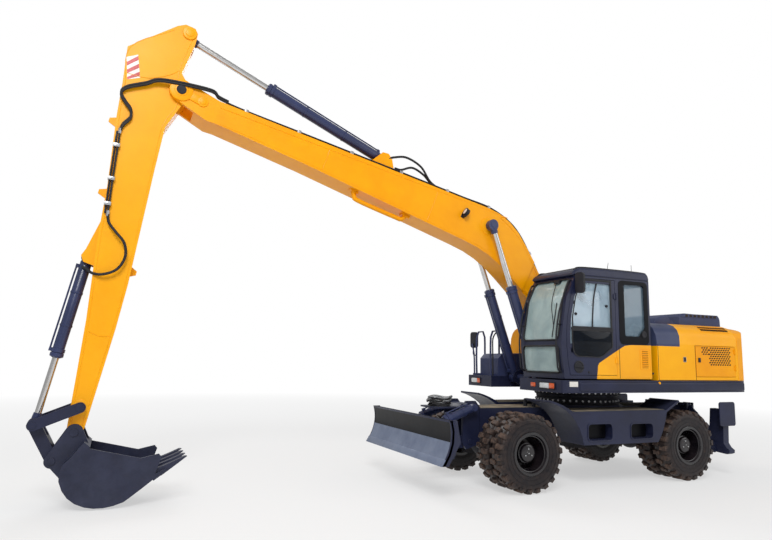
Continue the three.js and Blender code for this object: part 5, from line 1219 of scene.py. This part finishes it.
def doorDetails():
    body = "cab_door"
    glass = slewPart("door_lower_glass", body, "darkGlass")
    outline = [(0.335, 2.235), (1.095, 2.235), (1.100, 2.10), (1.085, 1.935), (1.06, 1.88),
        (1.00, 1.845), (0.60, 1.835), (0.53, 1.855), (0.345, 1.985), (0.335, 2.02)]
    glass.add(slab([(x, z) for x, z in outline], 1.2010, 1.2055))
    glass.close(bevel=0.001)
    skin = slewPart("door_lower_skin", body, "cabPaint")
    # closes the opening below the dark glass, and carries the swept yellow flank
    skin.add(slab([(x, z) for x, z in ((0.60, 1.645), (1.09, 1.645), (1.11, 1.90), (0.60, 1.90))],
        1.165, 1.199))
    skin.close()
    trim = slewPart("door_trim", body, "blackRubber")
    trim.add(frameBorder([(x, z) for x, z in outline], 0.022, 1.2045, 1.2085))
    border = [(0.335, 2.255), (1.088, 2.255), (1.085, 2.41), (1.02, 2.71), (0.905, 2.985),
        (0.335, 2.985)]
    trim.add(frameBorder([(x, z) for x, z in border], 0.030, 1.1995, 1.2050))
    # sliding pane's middle bar, curved as the pane's edge is, and the sill rail
    bar = smoothRoute([(0.70, 1.188, 2.27), (0.685, 1.188, 2.50), (0.655, 1.188, 2.74),
        (0.585, 1.188, 2.975)], 6)
    trim.add(hose(bar, 0.011, 8))
    trim.add(block((0.32, 1.192, 2.236), (1.10, 1.208, 2.262)))
    trim.close(smooth=40)
    handle = slewPart("door_handle", body, "blackPlastic")
    place = Matrix.Translation((0.98, 0, 1.70))
    handle.add(turned([(1.198, 0), (1.198, 0.088), (1.207, 0.086), (1.209, 0.074), (1.2015, 0.066),
        (1.2015, 0)], 36), place)
    handle.add(hose(smoothRoute([(1.045, 1.204, 1.705), (1.01, 1.222, 1.702), (0.93, 1.222, 1.697),
        (0.905, 1.206, 1.695)], 6), 0.012, 12))
    handle.add(turned([(1.199, 0), (1.199, 0.016), (1.206, 0.014), (1.206, 0)], 20),
        Matrix.Translation((0.80, 0, 1.625)))
    for z in (2.10, 2.60):
        handle.add(block((1.03, 1.183, z), (1.06, 1.197, z + 0.05)))
    handle.close(smooth=36)
    knobs = slewPart("door_window_catches", body, "blackPlastic")
    for x, z in ((1.00, 2.46), (0.42, 2.60)):
        knobs.add(turned([(1.178, 0), (1.178, 0.022), (1.196, 0.018), (1.196, 0)], 16),
            Matrix.Translation((x, 0, z)))
    knobs.close()


cabDetails(cabSpec)
doorDetails()
print("cab details built")

# seat, with its cloth pads
def pad(node):
    # a crowned cushion in the room of its CAD solid: domed faces and pulled-in edges; its sewn channels are
    # pressed in by the caller
    low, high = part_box(node)
    centre = (low + high) / 2
    size = high - low
    work = bmesh.new()
    bmesh.ops.create_cube(work, size=1.0)
    bmesh.ops.subdivide_edges(work, edges=work.edges, cuts=11, use_grid_fill=True)
    for vertex in work.verts:
        p = vertex.co * 2
        edge = max(abs(p.x), abs(p.y), abs(p.z))
        ball = p.normalized() * edge
        soft = p.lerp(ball, 0.30)
        crown = 1 - 0.10 * (max(abs(soft.x), abs(soft.y)) ** 4)
        vertex.co = Vector((soft.x * size.x / 2 * 0.98, soft.y * size.y / 2 * 0.98,
            soft.z * size.z / 2 * crown))
    return work, centre, size


def buildSeat():
    work, centre, size = pad("seat_cushion")
    for vertex in work.verts:
        if vertex.co.z > 0:
            groove = min(abs(abs(vertex.co.y) - size.y * 0.30) / 0.02, 1.0)
            vertex.co.z -= 0.010 * (1 - groove)
        vertex.co += centre
    shapePad(work, "seat_cushion_pad", "seat_cushion")
    low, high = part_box("seat_backrest")
    # the backrest leans: its pad and the headrest follow the CAD solid's slope
    lean = math.radians(12)
    for name, z0, z1, halfY, halfX in (("seat_back_pad", -0.02, 0.60, 0.215, 0.050),
            ("seat_head_pad", 0.63, 0.81, 0.125, 0.036)):
        part = bmesh.new()
        bmesh.ops.create_cube(part, size=1.0)
        bmesh.ops.subdivide_edges(part, edges=part.edges, cuts=11, use_grid_fill=True)
        middle = (z0 + z1) / 2
        for vertex in part.verts:
            p = vertex.co * 2
            edge = max(abs(p.x), abs(p.y), abs(p.z))
            soft = p.lerp(p.normalized() * edge, 0.34)
            if name == "seat_back_pad" and p.x > 0:
                groove = min(abs(abs(soft.y) - 0.55) / 0.08, 1.0)
                soft.x -= 0.18 * (1 - groove)
            x, y, z = soft.x * halfX, soft.y * halfY, middle + soft.z * (z1 - z0) / 2
            vertex.co = (x * math.cos(lean) - z * math.sin(lean) + slewX - 0.06, y + 0.725,
                x * math.sin(lean) + z * math.cos(lean) + 1.985)
        shapePad(part, name, "seat_backrest")


def shapePad(work, name, node):
    bmesh.ops.recalc_face_normals(work, faces=work.faces)
    piece = asObject(work, name)
    smooth = piece.modifiers.new("soft", "SUBSURF")
    smooth.levels = smooth.render_levels = 1
    bake(piece)
    settle(piece, "upper", "cloth", 70, (node,))


buildSeat()


def cabInside():
    work = slewPart("cab_monitor_and_controls", "upper", "blackPlastic")
    work.add(block((0.84, 0.36, 2.12), (0.87, 0.62, 2.32)))
    work.add(hose(smoothRoute([(0.85, 0.40, 1.95), (0.85, 0.44, 2.06), (0.855, 0.48, 2.14)], 4), 0.014,
        10))
    for y in (0.425, 1.025):
        work.add(tapered([((0.48, y, 2.16), 0.014), ((0.475, y, 2.20), 0.026),
            ((0.465, y, 2.27), 0.024), ((0.46, y, 2.285), 0.010)], 16))
    for y in (0.66, 0.79):
        work.add(hose(smoothRoute([(0.98, y, 1.60), (0.96, y, 1.75), (0.86, y, 1.86)], 4), 0.012, 8))
        work.add(block((0.93, y - 0.05, 1.62), (1.06, y + 0.05, 1.64)))
    work.close(bevel=0.004)
    belt = slewPart("cab_seat_belt", "upper", "redFilm")
    belt.add(slab([(0.02, 1.99), (0.06, 1.985), (0.20, 1.80), (0.17, 1.79)], 0.952, 0.956))
    belt.close()


cabInside()
print("seat and controls built")

# skirt, lamps, body panels
side = 1.25


def skirtDetails():
    lamps = slewPart("front_lamp_lenses", "upper", "clearLens")
    ambers = slewPart("front_amber_lenses", "upper", "amberLens")
    bezels = slewPart("front_lamp_bezels", "upper", "blackPlastic")
    front = 1.307
    for low, high in ((0.72, 1.08), (-1.16, -0.86)):
        outline = roundedOutline(low, high, 1.375, 1.475, 0.02)
        points, faces = frameBorder(outline, 0.012, 0, 0)
        ring = [(front - 0.001 if i < len(points) / 2 else front + 0.016, p[0], p[2]) for i,
            p in enumerate(points)]
        bezels.add((ring, faces))
        split = low + (high - low) * 0.62
        lamps.add(block((front + 0.001, low + 0.014, 1.387), (front + 0.012, split - 0.004, 1.463)))
        ambers.add(block((front + 0.001, split + 0.004, 1.387), (front + 0.012, high - 0.014, 1.463)))
    ambers.add(block((front + 0.001, 0.52, 1.395), (front + 0.008, 0.63, 1.455)))
    lamps.close(bevel=0.004)
    ambers.close(bevel=0.004)
    bezels.close(bevel=0.002)
    # blank plate on the left corner, the yellow drain cap, and the skirt's rounded side with its lips
    plate = slewPart("skirt_blank_plate", "upper", "whiteFilm")
    plate.add(block((1.05, side + 0.0005, 1.42), (1.20, side + 0.004, 1.50)))
    plate.close(bevel=0.0015)
    cap = slewPart("skirt_yellow_cap", "upper", "yellowEnamel")
    cap.add(turned([(side - 0.002, 0), (side - 0.002, 0.022), (side + 0.019, 0.018),
        (side + 0.019, 0)], 20), Matrix.Translation((-0.51, 0, 1.475)))
    cap.close()
    bulge = slewPart("skirt_side_bulge", "upper", "chassisPaint")
    for y, sign in ((side, 1), (-side, -1)):
        low, high = sorted((y - sign * 0.030, y + sign * 0.016))
        bulge.add(block((-2.40, low, 1.356), (1.02, high, 1.486)))
    bulge.close(bevel=0.022, segments=4, smooth=60)
    lips = slewPart("skirt_lips", "upper", "chassisPaint")
    for z in (1.345, 1.497):
        for y in (-side - 0.004, side - 0.004):
            lips.add(block((-2.20, y, z - 0.008), (1.24, y + 0.008, z + 0.008)))
    lips.close(bevel=0.003)


def bodyDetails():
    lines = slewPart("body_panel_gaps", "upper", "ventShadow")
    for y in (-side, side):
        low, high = sorted((y - 0.002 * math.copysign(1, y), y + 0.0012 * math.copysign(1, y)))
        for x, z0, z1 in ((-0.515, 1.52, 2.06), (-1.31, 1.52, 2.06)):
            lines.add(block((x - 0.004, low, z0), (x + 0.004, high, z1)))
        lines.add(block((-2.27, low, 1.514), (-0.50, high, 1.522)))
    low, high = 1.199, 1.2015
    lines.add(block((0.205, low, 1.54), (0.213, high, 2.02)))
    lines.close()
    # louvres on the cab's left rear flank: pressed slats over dark strips that paint the shade in each slot
    slats = slewPart("flank_louvres", "upper", "yellowEnamel")
    slotShade = slewPart("flank_louvre_slot_shade", "upper", "ventShadow")
    slot = block((-0.358, 1.1995, 1.696), (-0.240, 1.2012, 1.701))
    slotShade.add(repeated(slot, "rows", "ventShadow", {"Columns": 10, "Column Step": (0.0, 0.0, 0.027)}))
    slat = slab([(-0.362, 1.701), (-0.236, 1.701), (-0.236, 1.717), (-0.362, 1.717)], 1.1995, 1.209)
    louvreEdge = roundedOutline(-0.405, -0.195, 1.668, 1.982, 0.02)
    slats.add(frameBorder([(x, z) for x, z in louvreEdge], 0.008, 1.1995, 1.203))
    slats.add(repeated(slat, "rows", "yellowEnamel", {"Columns": 10, "Column Step": (0.0, 0.0, 0.027)},
        bevel=0.004))
    slats.close()
    slotShade.close()
    # door catches and lift handles on the sides, and a panel lock
    locks = slewPart("body_panel_locks", "upper", "blackPlastic")
    lockRims = slewPart("body_panel_lock_rims", "upper", "zincPlate")
    for y, sign in ((side, 1), (-side, -1)):
        low, high = sorted((y + 0.0005 * sign, y + 0.004 * sign))
        locks.add(block((-1.098, low, 1.802), (-1.047, high, 1.873)))
        border = roundedOutline(-1.102, -1.043, 1.798, 1.877, 0.008)
        low, high = sorted((y + 0.0005 * sign, y + 0.008 * sign))
        lockRims.add(frameBorder(border, 0.006, low, high))
        locks.add(block((-0.46, low if y < 0 else 1.2005, 1.60), (-0.43, high if y < 0 else 1.208,
            1.63)))
    locks.close(bevel=0.002)
    lockRims.close(bevel=0.001)


def sideDoorDetails(name, sign):
    # the perforated corner of each service door, its holes dark ovals of painted shade, with its lock
    body = name + "_service_door"
    face = sign * 1.2505
    low, high = sorted((face - sign * 0.001, face + sign * 0.0012))
    holeShade = slewPart(name + "_door_perforation_shade", body, "ventShadow")
    def oval(x, z):
        return [(x + 0.019 * math.cos(math.radians(a)) - 0.006 * math.sin(math.radians(a)),
            z + 0.0125 * math.sin(math.radians(a))) for a in range(0, 360, 30)]

    holeShade.add(repeated(slab(oval(-2.095, 1.765), low, high), "rows", "ventShadow",
        {"Columns": 9, "Rows": 9, "Column Step": (0.054, 0.0, 0.0), "Row Step": (0.0, 0.0, 0.033),
        "Stagger": (0.027, 0.0, 0.0)}))
    holeShade.add(repeated(slab(oval(-1.607, 1.930), low, high), "rows", "ventShadow",
        {"Columns": 3, "Rows": 4, "Column Step": (0.054, 0.0, 0.0), "Row Step": (0.0, 0.0, 0.033),
        "Stagger": (0.027, 0.0, 0.0)}))
    holeShade.close()
    lock = slewPart(name + "_door_lock", body, "blackPlastic")
    low, high = sorted((face, face + sign * 0.010))
    lock.add(block((-1.42, low, 1.80), (-1.37, high, 1.87)))
    lock.close(bevel=0.003)


def shoulderPoint(along, t, sign):
    # a point on the body's rounded shoulder, t from 0 at its foot to 1 at its top
    y = (1 - t) ** 2 * 1.25 + 2 * t * (1 - t) * 1.25 + t * t * 0.99
    z = (1 - t) ** 2 * 2.07 + 2 * t * (1 - t) * 2.36 + t * t * 2.40
    return Vector((along, sign * y, z))


def shoulderVents():
    # dark quads standing proud of the shoulder paint the shade inside each vent slot; yellow rails frame them
    ventShade = slewPart("shoulder_vent_slot_shade", "upper", "ventShadow")
    rims = slewPart("shoulder_vent_frames", "upper", "yellowEnamel")
    for sign in (-1, 1):
        for i in range(30):
            x = -1.56 - i * 0.0212
            for t0, t1 in ((0.515, 0.610), (0.675, 0.765)):
                a, b = shoulderPoint(x, t0, sign), shoulderPoint(x, t1, sign)
                out = Vector((0, sign * (b.z - a.z), sign * sign * abs(b.y - a.y))).normalized()
                c = a + Vector((-0.0075, 0, 0))
                d = b + Vector((-0.0075, 0, 0))
                points = [p + out * k for k in (-0.004, 0.0035) for p in (a, b, d, c)]
                ventShade.add((points, [(0, 1, 2, 3), (4, 7, 6, 5), (0, 4, 5, 1), (1, 5, 6, 2),
                    (2, 6, 7, 3), (3, 7, 4, 0)]))
        for t in (0.47, 0.64, 0.81):
            route = [shoulderPoint(x, t, sign) for x in (-1.53, -1.86, -2.19)]
            rims.add(hose(route, 0.006, 6))
    ventShade.close()
    rims.close(smooth=60)


def hoodDetails():
    # the fixed cover in front of the hood, and the hood's raised vent rail with its row of slots, the slots dark
    # plates of painted shade
    cover = slewPart("hood_front_cover", "upper", "greyPlastic")
    shape = [(-0.93, 2.402), (-1.455, 2.402), (-1.275, 2.532), (-1.262, 2.558), (-1.15, 2.545),
        (-0.98, 2.50)]
    cover.add(slab([(x, z) for x, z in shape], -0.80, 0.80))
    cover.close(bevel=0.018, segments=3)
    hoodSlotShade = slewPart("hood_side_slot_shade", "engine_hood", "ventShadow")
    rail = slewPart("hood_vent_rail", "engine_hood", "greyPlastic")
    rail.add(slab([(x, z) for x, z in ((-1.54, 2.540), (-2.43, 2.540), (-2.44, 2.575), (-2.41, 2.604),
        (-1.60, 2.604))], -0.825, 0.825))
    for y, sign in ((0.825, 1), (-0.825, -1)):
        low, high = sorted((y - sign * 0.002, y + sign * 0.002))
        hole = slab([(-2.375, 2.553), (-2.308, 2.553), (-2.313, 2.594), (-2.370, 2.594)], low, high)
        hoodSlotShade.add(repeated(hole, "rows", "ventShadow", {"Columns": 8,
            "Column Step": (0.096, 0.0, 0.0)}))
    rail.close(bevel=0.005)
    hoodSlotShade.close()


skirtDetails()
bodyDetails()
sideDoorDetails("left", 1)
sideDoorDetails("right", -1)
shoulderVents()
hoodDetails()
print("body details built")

# undercarriage


def underDetails():
    # slewing ring: its outer race and two rows of bolts
    ring = slewPart("slew_ring_race", "chassis", "castIron")
    race = [(1.095, 0.56), (1.095, 0.655), (1.130, 0.662), (1.150, 0.650), (1.175, 0.650),
        (1.195, 0.640), (1.215, 0.648), (1.24, 0.648), (1.24, 0.56)]
    ring.add(ringTurned(race, 96, "Z"), Matrix.Translation((0.0, 0, 0)))
    ring.close()
    upperRing = slewPart("slew_ring_inner", "upper", "castIron")
    race = [(1.245, 0.56), (1.245, 0.668), (1.262, 0.676), (1.31, 0.676), (1.331, 0.668), (1.331, 0.56)]
    upperRing.add(ringTurned(race, 96, "Z"), Matrix.Translation((0.0, 0, 0)))
    upperRing.close()
    bolts = slewPart("slew_ring_bolts", "chassis", "highlitZinc")
    head = hexHead((0.650, 0, 1.163), (1, 0, 0), 0.030, 0.016)
    bolts.add(repeated(head, "ring", "highlitZinc", {"Count": 44, "Centre": (0.0, 0.0, 1.163),
        "Axis": (0.0, 0.0, 1.0), "Seed": 2}))
    bolts.close()
    upperBolts = slewPart("slew_ring_upper_bolts", "upper", "highlitZinc")
    head = hexHead((0.676, 0, 1.287), (1, 0, 0), 0.030, 0.014)
    upperBolts.add(repeated(head, "ring", "highlitZinc", {"Count": 44, "Centre": (0.0, 0.0, 1.287),
        "Axis": (0.0, 0.0, 1.0), "Seed": 2}))
    upperBolts.close()
    # deck plates and mudguards with dried mud on top
    deck = slewPart("chassis_deck_plate", "chassis", "muddyDeck")
    deck.add(block((0.72, -0.29, 1.0605), (2.06, 0.29, 1.068)))
    deck.add(block((-1.95, -0.29, 1.0605), (-0.72, 0.29, 1.068)))
    for sign in (-1, 1):
        low, high = sorted((sign * 0.66, sign * 1.19))
        deck.add(block((-0.66, low, 1.0705), (1.05, high, 1.077)))
    deck.close(bevel=0.002)
    # a rolled lip round each step pocket of the tool boxes, and a serrated tread on its floor
    for name, sign in (("left", 1), ("right", -1)):
        rims = slewPart(name + "_tool_box_rims", "chassis", "chassisPaint")
        y = sign * 1.2
        for x0, x1, z0, z1 in ((0.400, 0.842, 0.663, 0.893), (-0.393, 0.040, 0.663, 0.880)):
            outline = [(x, z) for x, z in roundedOutline(x0 - 0.012, x1 + 0.012, z0 - 0.012,
                z1 + 0.012, 0.062)]
            low, high = sorted((y - sign * 0.002, y + sign * 0.010))
            rims.add(frameBorder(outline, 0.014, low, high))
            low, high = sorted((y - sign * 0.140, y - sign * 0.012))
            rims.add(repeated(block((x0 + 0.06, low, z0 - 0.001), (x0 + 0.072, high, z0 + 0.010)),
                "rows", "chassisPaint", {"Columns": 11, "Column Step": (0.031, 0.0, 0.0)}))
        rims.close(bevel=0.003)
        # a near-black plate at the back of each step pocket paints the shade inside the pocket
        pocketShade = slewPart(name + "_tool_box_pocket_shade", "chassis", "blackPrint")
        for x0, x1, z0, z1 in ((0.400, 0.842, 0.663, 0.893), (-0.393, 0.040, 0.663, 0.880)):
            low, high = sorted((y - sign * 0.150, y - sign * 0.128))
            pocketShade.add(block((x0 + 0.002, low, z0 + 0.012), (x1 - 0.002, high, z1 - 0.002)))
        pocketShade.close()
    # grease posts on the deck
    posts = slewPart("deck_grease_posts", "chassis", "castIron")
    for x, y in ((1.05, 0.24), (1.12, 0.12)):
        posts.add(tapered([((x, y, 1.066), 0.03), ((x, y, 1.17), 0.028), ((x, y, 1.19), 0.016)], 16))
    posts.close()


def bladeDetails():
    # the scraped lower face, the cutting edge, and the top rail
    face = slewPart("blade_scraped_face", "dozer_blade", "scrapedSteel")
    x0 = 3.11
    def curve(t, lift):
        x = (1 - t) ** 2 * (x0 + 0.11) + 2 * t * (1 - t) * (x0 - 0.09) + t * t * x0
        z = (1 - t) ** 2 * 0.438 + 2 * t * (1 - t) * 0.719 + t * t * 1.0
        return x + lift, z
    front = [curve(0.02 + k / 12 * 0.50, 0.013) for k in range(13)]
    back = [curve(k / 12 * 0.52, -0.008) for k in range(12, -1, -1)]
    face.add(slab(front + back, -1.245, 1.245))
    face.close()
    edge = slewPart("blade_cutting_edge", "dozer_blade", "scrapedSteel")
    edge.add(slab([curve(0.0, 0.020), curve(0.15, 0.022), curve(0.15, 0.002), curve(0.0, 0.0)], -1.25,
        1.25))
    edge.close(bevel=0.002)
    upperFace = slewPart("blade_upper_face", "dozer_blade", "blackPrint")
    front = [curve(0.52 + k / 12 * 0.455, 0.0105) for k in range(13)]
    back = [curve(0.52 + k / 12 * 0.455, -0.008) for k in range(12, -1, -1)]
    upperFace.add(slab(front + back, -1.245, 1.245))
    upperFace.close()
    rails = slewPart("blade_end_plates", "dozer_blade", "chassisPaint")
    for y in (-1.25, 1.228):
        plate = [curve(k / 10, 0.014) for k in range(11)] + [(x0 - 0.10, 1.0), (x0 - 0.15, 0.72),
            (x0 + 0.02, 0.438)]
        rails.add(slab(plate, y, y + 0.022))
    rails.add(slab([curve(1.0, 0.012), curve(0.955, 0.016), curve(0.955, -0.03), curve(1.0, -0.04)],
        -1.25, 1.25))
    rails.close(bevel=0.003)


def hoseHeap():
    # blade hoses heaped on the frame's nose, one wound in a pale spiral guard
    rng = random.Random(7)
    dark = slewPart("blade_hose_heap", "chassis", "blackRubber")
    pale = slewPart("hose_spiral_guard", "chassis", "zincPlate")
    centre = Vector((2.62, 0.06, 1.085))
    for i in range(8):
        phase = rng.uniform(0, 6.28)
        lift = 0.012 + 0.017 * i
        rx, ry = rng.uniform(0.13, 0.20), rng.uniform(0.12, 0.18)
        route = []
        for k in range(13):
            a = phase + 5.2 * k / 12
            route.append(centre + Vector((rx * math.cos(a), ry * math.sin(a),
                lift + 0.012 * math.sin(3 * a))))
        if i in (3, 5, 7):
            dense = smoothRoute(route, 10)
            pale.add(hose(dense, 0.010, 8))
            for k in range(0, len(dense) - 1, 2):
                pale.add(closedRing(ringRound(dense[k], dense[k + 1] - dense[k], 0.014), 0.0042, 6))
        else:
            dark.add(hose(smoothRoute(route, 8), 0.013, 10))
    tray = slewPart("hose_tray", "chassis", "chassisPaint")
    tray.add(slab([(2.13, 1.10), (2.34, 1.10), (2.36, 1.060), (2.78, 1.060), (2.78, 1.084),
        (2.38, 1.084), (2.34, 1.125), (2.13, 1.125)], -0.235, 0.235))
    tray.close(bevel=0.004)
    dark.close(smooth=60)
    pale.close(smooth=60)


def ringRound(centre, direction, radius, count=12):
    d = Vector(direction).normalized()
    u = d.cross(Vector((0.2, 0.3, 0.9))).normalized()
    v = d.cross(u)
    return [Vector(centre) + (u * math.cos(2 * math.pi * k / count) + v * math.sin(
        2 * math.pi * k / count)) * radius for k in range(count)]


underDetails()
bladeDetails()
hoseHeap()
print("undercarriage details built")


def rightMirrorAndRails():
    work = slewPart("right_mirror", "upper", "blackPlastic")
    shell = roundedOutline(-0.08, 0.08, -0.14, 0.14, 0.05)
    place = Matrix.Translation((1.20, -1.235, 2.12)) @ Matrix.Rotation(math.radians(100), 4, "Z")
    work.add(slab(shell, -0.026, 0.022), place)
    work.add(hose(smoothRoute([(1.215, -1.14, 1.86), (1.225, -1.20, 1.85), (1.225, -1.235, 1.90),
        (1.205, -1.235, 2.05)], 6), 0.010, 10))
    work.close(bevel=0.008, segments=3)
    glass = slewPart("right_mirror_glass", "upper", "mirrorGlass")
    glass.add(slab(roundedOutline(-0.068, 0.068, -0.128, 0.128, 0.045), 0.022, 0.0245), place)
    glass.close()
    rail = slewPart("boom_side_rail", "upper", "blackPlastic")
    rail.add(hose(smoothRoute([(1.20, -0.655, 1.512), (1.20, -0.655, 1.9), (1.20, -0.65, 2.12),
        (1.18, -0.60, 2.22), (1.15, -0.56, 2.26)], 6), 0.012, 10))
    rail.close(smooth=60)


rightMirrorAndRails()


# camera, light and floor
cameraSpot = {"x": 7.1211, "y": 8.2049, "z": 1.7743, "heading": -113.84, "pitch": 8.13, "roll": 1.12,
    "lens": 28.66}


def placeCamera(spot):
    yaw, pitch, roll = (math.radians(spot[k]) for k in ("heading", "pitch", "roll"))
    ahead = Vector((math.cos(yaw) * math.cos(pitch), math.sin(yaw) * math.cos(pitch), math.sin(pitch)))
    right = ahead.cross(Vector((0, 0, 1))).normalized()
    up = right.cross(ahead)
    rightRolled = right * math.cos(roll) + up * math.sin(roll)
    upRolled = up * math.cos(roll) - right * math.sin(roll)
    data = bpy.data.cameras.new("camera")
    data.lens = spot["lens"]
    data.sensor_width = 36
    data.clip_end = 200
    camera = bpy.data.objects.new("camera", data)
    bpy.context.scene.collection.objects.link(camera)
    turn = Matrix((rightRolled, upRolled, -ahead)).transposed()
    camera.matrix_world = Matrix.Translation((spot["x"] + slewX, spot["y"], spot["z"])) @ turn.to_4x4()
    bpy.context.scene.camera = camera


def layFloor():
    shape = bmesh.new()
    bmesh.ops.create_circle(shape, cap_ends=True, segments=96, radius=60)
    bmesh.ops.translate(shape, verts=shape.verts, vec=(0, 0, -0.002))
    floor = asObject(shape, "floor")
    material, tree, surface, coords = startMaterial("pale studio floor")
    feed(surface, {"Base Color": hexToLinear("#e9e9e9"), "Roughness": 0.8})
    distance = addNode(tree, "VectorMath", {0: coords.outputs["Object"]}, operation="LENGTH")
    white = addNode(tree, "Emission", {"Color": (1, 1, 1, 1), "Strength": 1.0})
    path = addNode(tree, "LightPath")
    seen = compute("MAXIMUM", path.outputs["Is Camera Ray"], path.outputs["Is Glossy Ray"])
    share = compute("MULTIPLY", mapRange(distance.outputs["Value"], 7.0, 22.0, 0.52, 1.0), seen)
    blended = addNode(tree, "MixShader", {0: share, 1: surface, 2: white})
    feed(tree.nodes["Material Output"], {"Surface": blended})
    floor.data.materials.append(material)


def lampAt(name, spot, target, size, power):
    data = bpy.data.lights.new(name, "AREA")
    data.energy = power
    data.shape = "DISK"
    data.size = size
    lamp = bpy.data.objects.new(name, data)
    bpy.context.scene.collection.objects.link(lamp)
    direction = Vector(target) - Vector(spot)
    lamp.rotation_euler = direction.to_track_quat("-Z", "Y").to_euler()
    lamp.location = spot
    return lamp


lighting = {"sky": 0.48, "key": 1750, "fill": 300, "rim": 600}
placeCamera(cameraSpot)
layFloor()
lampAt("key", (7.0, 13.0, 13.0), (0.5, 0, 2.5), 7.0, lighting["key"])
lampAt("fill", (-12.0, 10.0, 7.0), (-1, 0, 2), 9.0, lighting["fill"])
lampAt("rim", (2.0, -13.0, 12.0), (0, 0, 3), 8.0, lighting["rim"])
world = bpy.data.worlds.new("studio")
bpy.context.scene.world = world
world.use_nodes = True
worldTree = world.node_tree
worldPath = addNode(worldTree, "LightPath")
seenDirect = compute("MAXIMUM", worldPath.outputs["Is Camera Ray"],
    worldPath.outputs["Is Transmission Ray"])
feed(worldTree.nodes["Background"], {"Color": (1, 1, 1, 1), "Strength": mapRange(seenDirect, 0.0, 1.0,
    lighting["sky"], 1.0)})
bpy.context.scene.view_settings.view_transform = "Standard"
print("camera, light and floor set")
